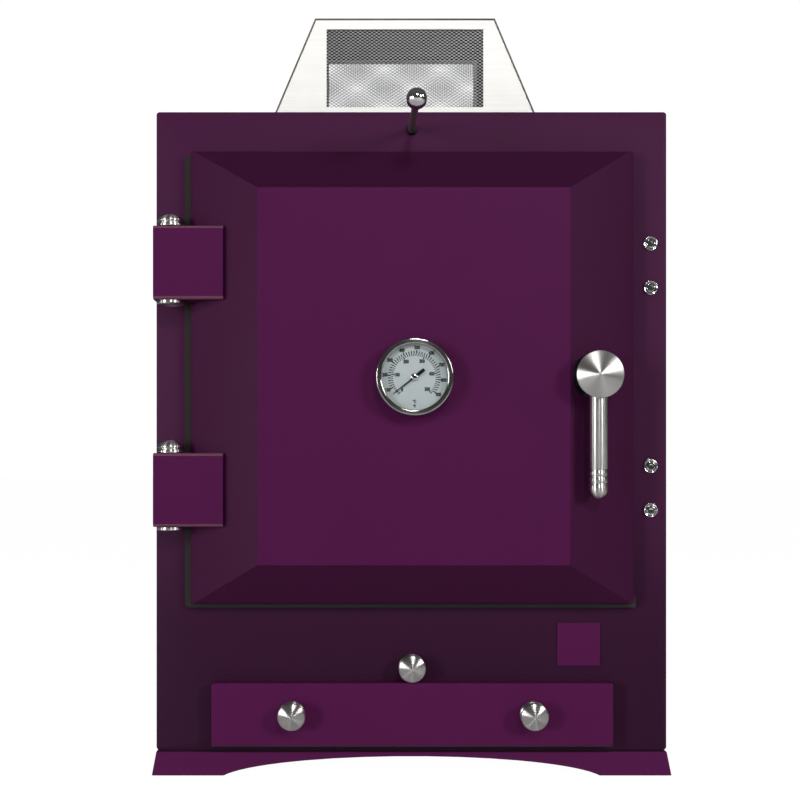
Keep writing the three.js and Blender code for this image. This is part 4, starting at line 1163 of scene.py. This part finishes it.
def make_world():
    """White behind the oven, and a dim grey room for what the metal reflects."""
    room_low = 0.03
    room_high = 0.09
    backdrop_strength = 1.02
    world = bpy.data.worlds.new("studio")
    bpy.context.scene.world = world
    world.use_nodes = True
    tree = world.node_tree
    tree.nodes.clear()
    eye = tree.nodes.new("ShaderNodeLightPath").outputs["Is Camera Ray"]
    place = tree.nodes.new("ShaderNodeTexCoord").outputs["Generated"]
    parts = tree.nodes.new("ShaderNodeSeparateXYZ")
    tree.links.new(place, parts.inputs["Vector"])
    ramp = tree.nodes.new("ShaderNodeMapRange")
    tree.links.new(parts.outputs["Z"], ramp.inputs["Value"])
    limits = {"From Min": -0.3, "From Max": 0.9, "To Min": room_low, "To Max": room_high}
    for key, value in limits.items():
        ramp.inputs[key].default_value = value
    room = tree.nodes.new("ShaderNodeBackground")
    tree.links.new(ramp.outputs["Result"], room.inputs["Strength"])
    backdrop = tree.nodes.new("ShaderNodeBackground")
    backdrop.inputs["Strength"].default_value = backdrop_strength
    for node in (room, backdrop):
        node.inputs["Color"].default_value = white
    mix = tree.nodes.new("ShaderNodeMixShader")
    tree.links.new(eye, mix.inputs[0])
    tree.links.new(room.outputs["Background"], mix.inputs[1])
    tree.links.new(backdrop.outputs["Background"], mix.inputs[2])
    out = tree.nodes.new("ShaderNodeOutputWorld")
    tree.links.new(mix.outputs["Shader"], out.inputs["Surface"])


def add_softbox(name, place, target, width, height, power):
    """A rectangular lamp of a power in watts that looks at a target."""
    light = bpy.data.lights.new(name, "AREA")
    light.shape = "RECTANGLE"
    light.size = width
    light.size_y = height
    light.energy = power
    holder = bpy.data.objects.new(name, light)
    bpy.context.scene.collection.objects.link(holder)
    holder.location = place
    holder.rotation_euler = (Vector(target) - Vector(place)).to_track_quat("-Z", "Y").to_euler()


def make_lights():
    """Soft boxes that stand round the line of sight, so flat metal in front stays dark."""
    aim = (0.05, -0.3, 0.55)
    add_softbox("softbox_upper", (0.53, -4.62, 3.11), aim, 0.8, 0.65, 61)
    add_softbox("softbox_left", (-3.71, -3.82, 0.9), aim, 0.9, 1.75, 114)
    add_softbox("softbox_right", (3.33, -3.98, 1.99), aim, 0.75, 1.4, 96)
    add_softbox("softbox_far_left", (-4.83, -1.74, 0.95), aim, 0.5, 1.8, 20)
    add_softbox("softbox_far_right", (4.5, -1.74, 2.7), aim, 0.5, 1.6, 18)
    add_softbox("softbox_back", (0, 2.4, 1.8), aim, 1.6, 1.0, 14)


def make_camera():
    """A level camera square to the front, a little left of the middle, with its lens shifted."""
    distance = 1.5
    left_of_middle = -0.07215
    height = 0.3962
    camera = bpy.data.cameras.new("camera")
    camera.sensor_width = 36
    camera.lens = 51.92
    camera.shift_x = 0.055
    camera.shift_y = 0.0875
    holder = bpy.data.objects.new("camera", camera)
    bpy.context.scene.collection.objects.link(holder)
    holder.location = (left_of_middle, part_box("fascia")[0].y - distance, height)
    holder.rotation_euler = (math.radians(90), 0, 0)
    bpy.context.scene.camera = holder


make_floor()
make_world()
make_lights()
make_camera()
bpy.context.scene.view_settings.view_transform = "Standard"
bpy.context.scene.view_settings.look = "None"
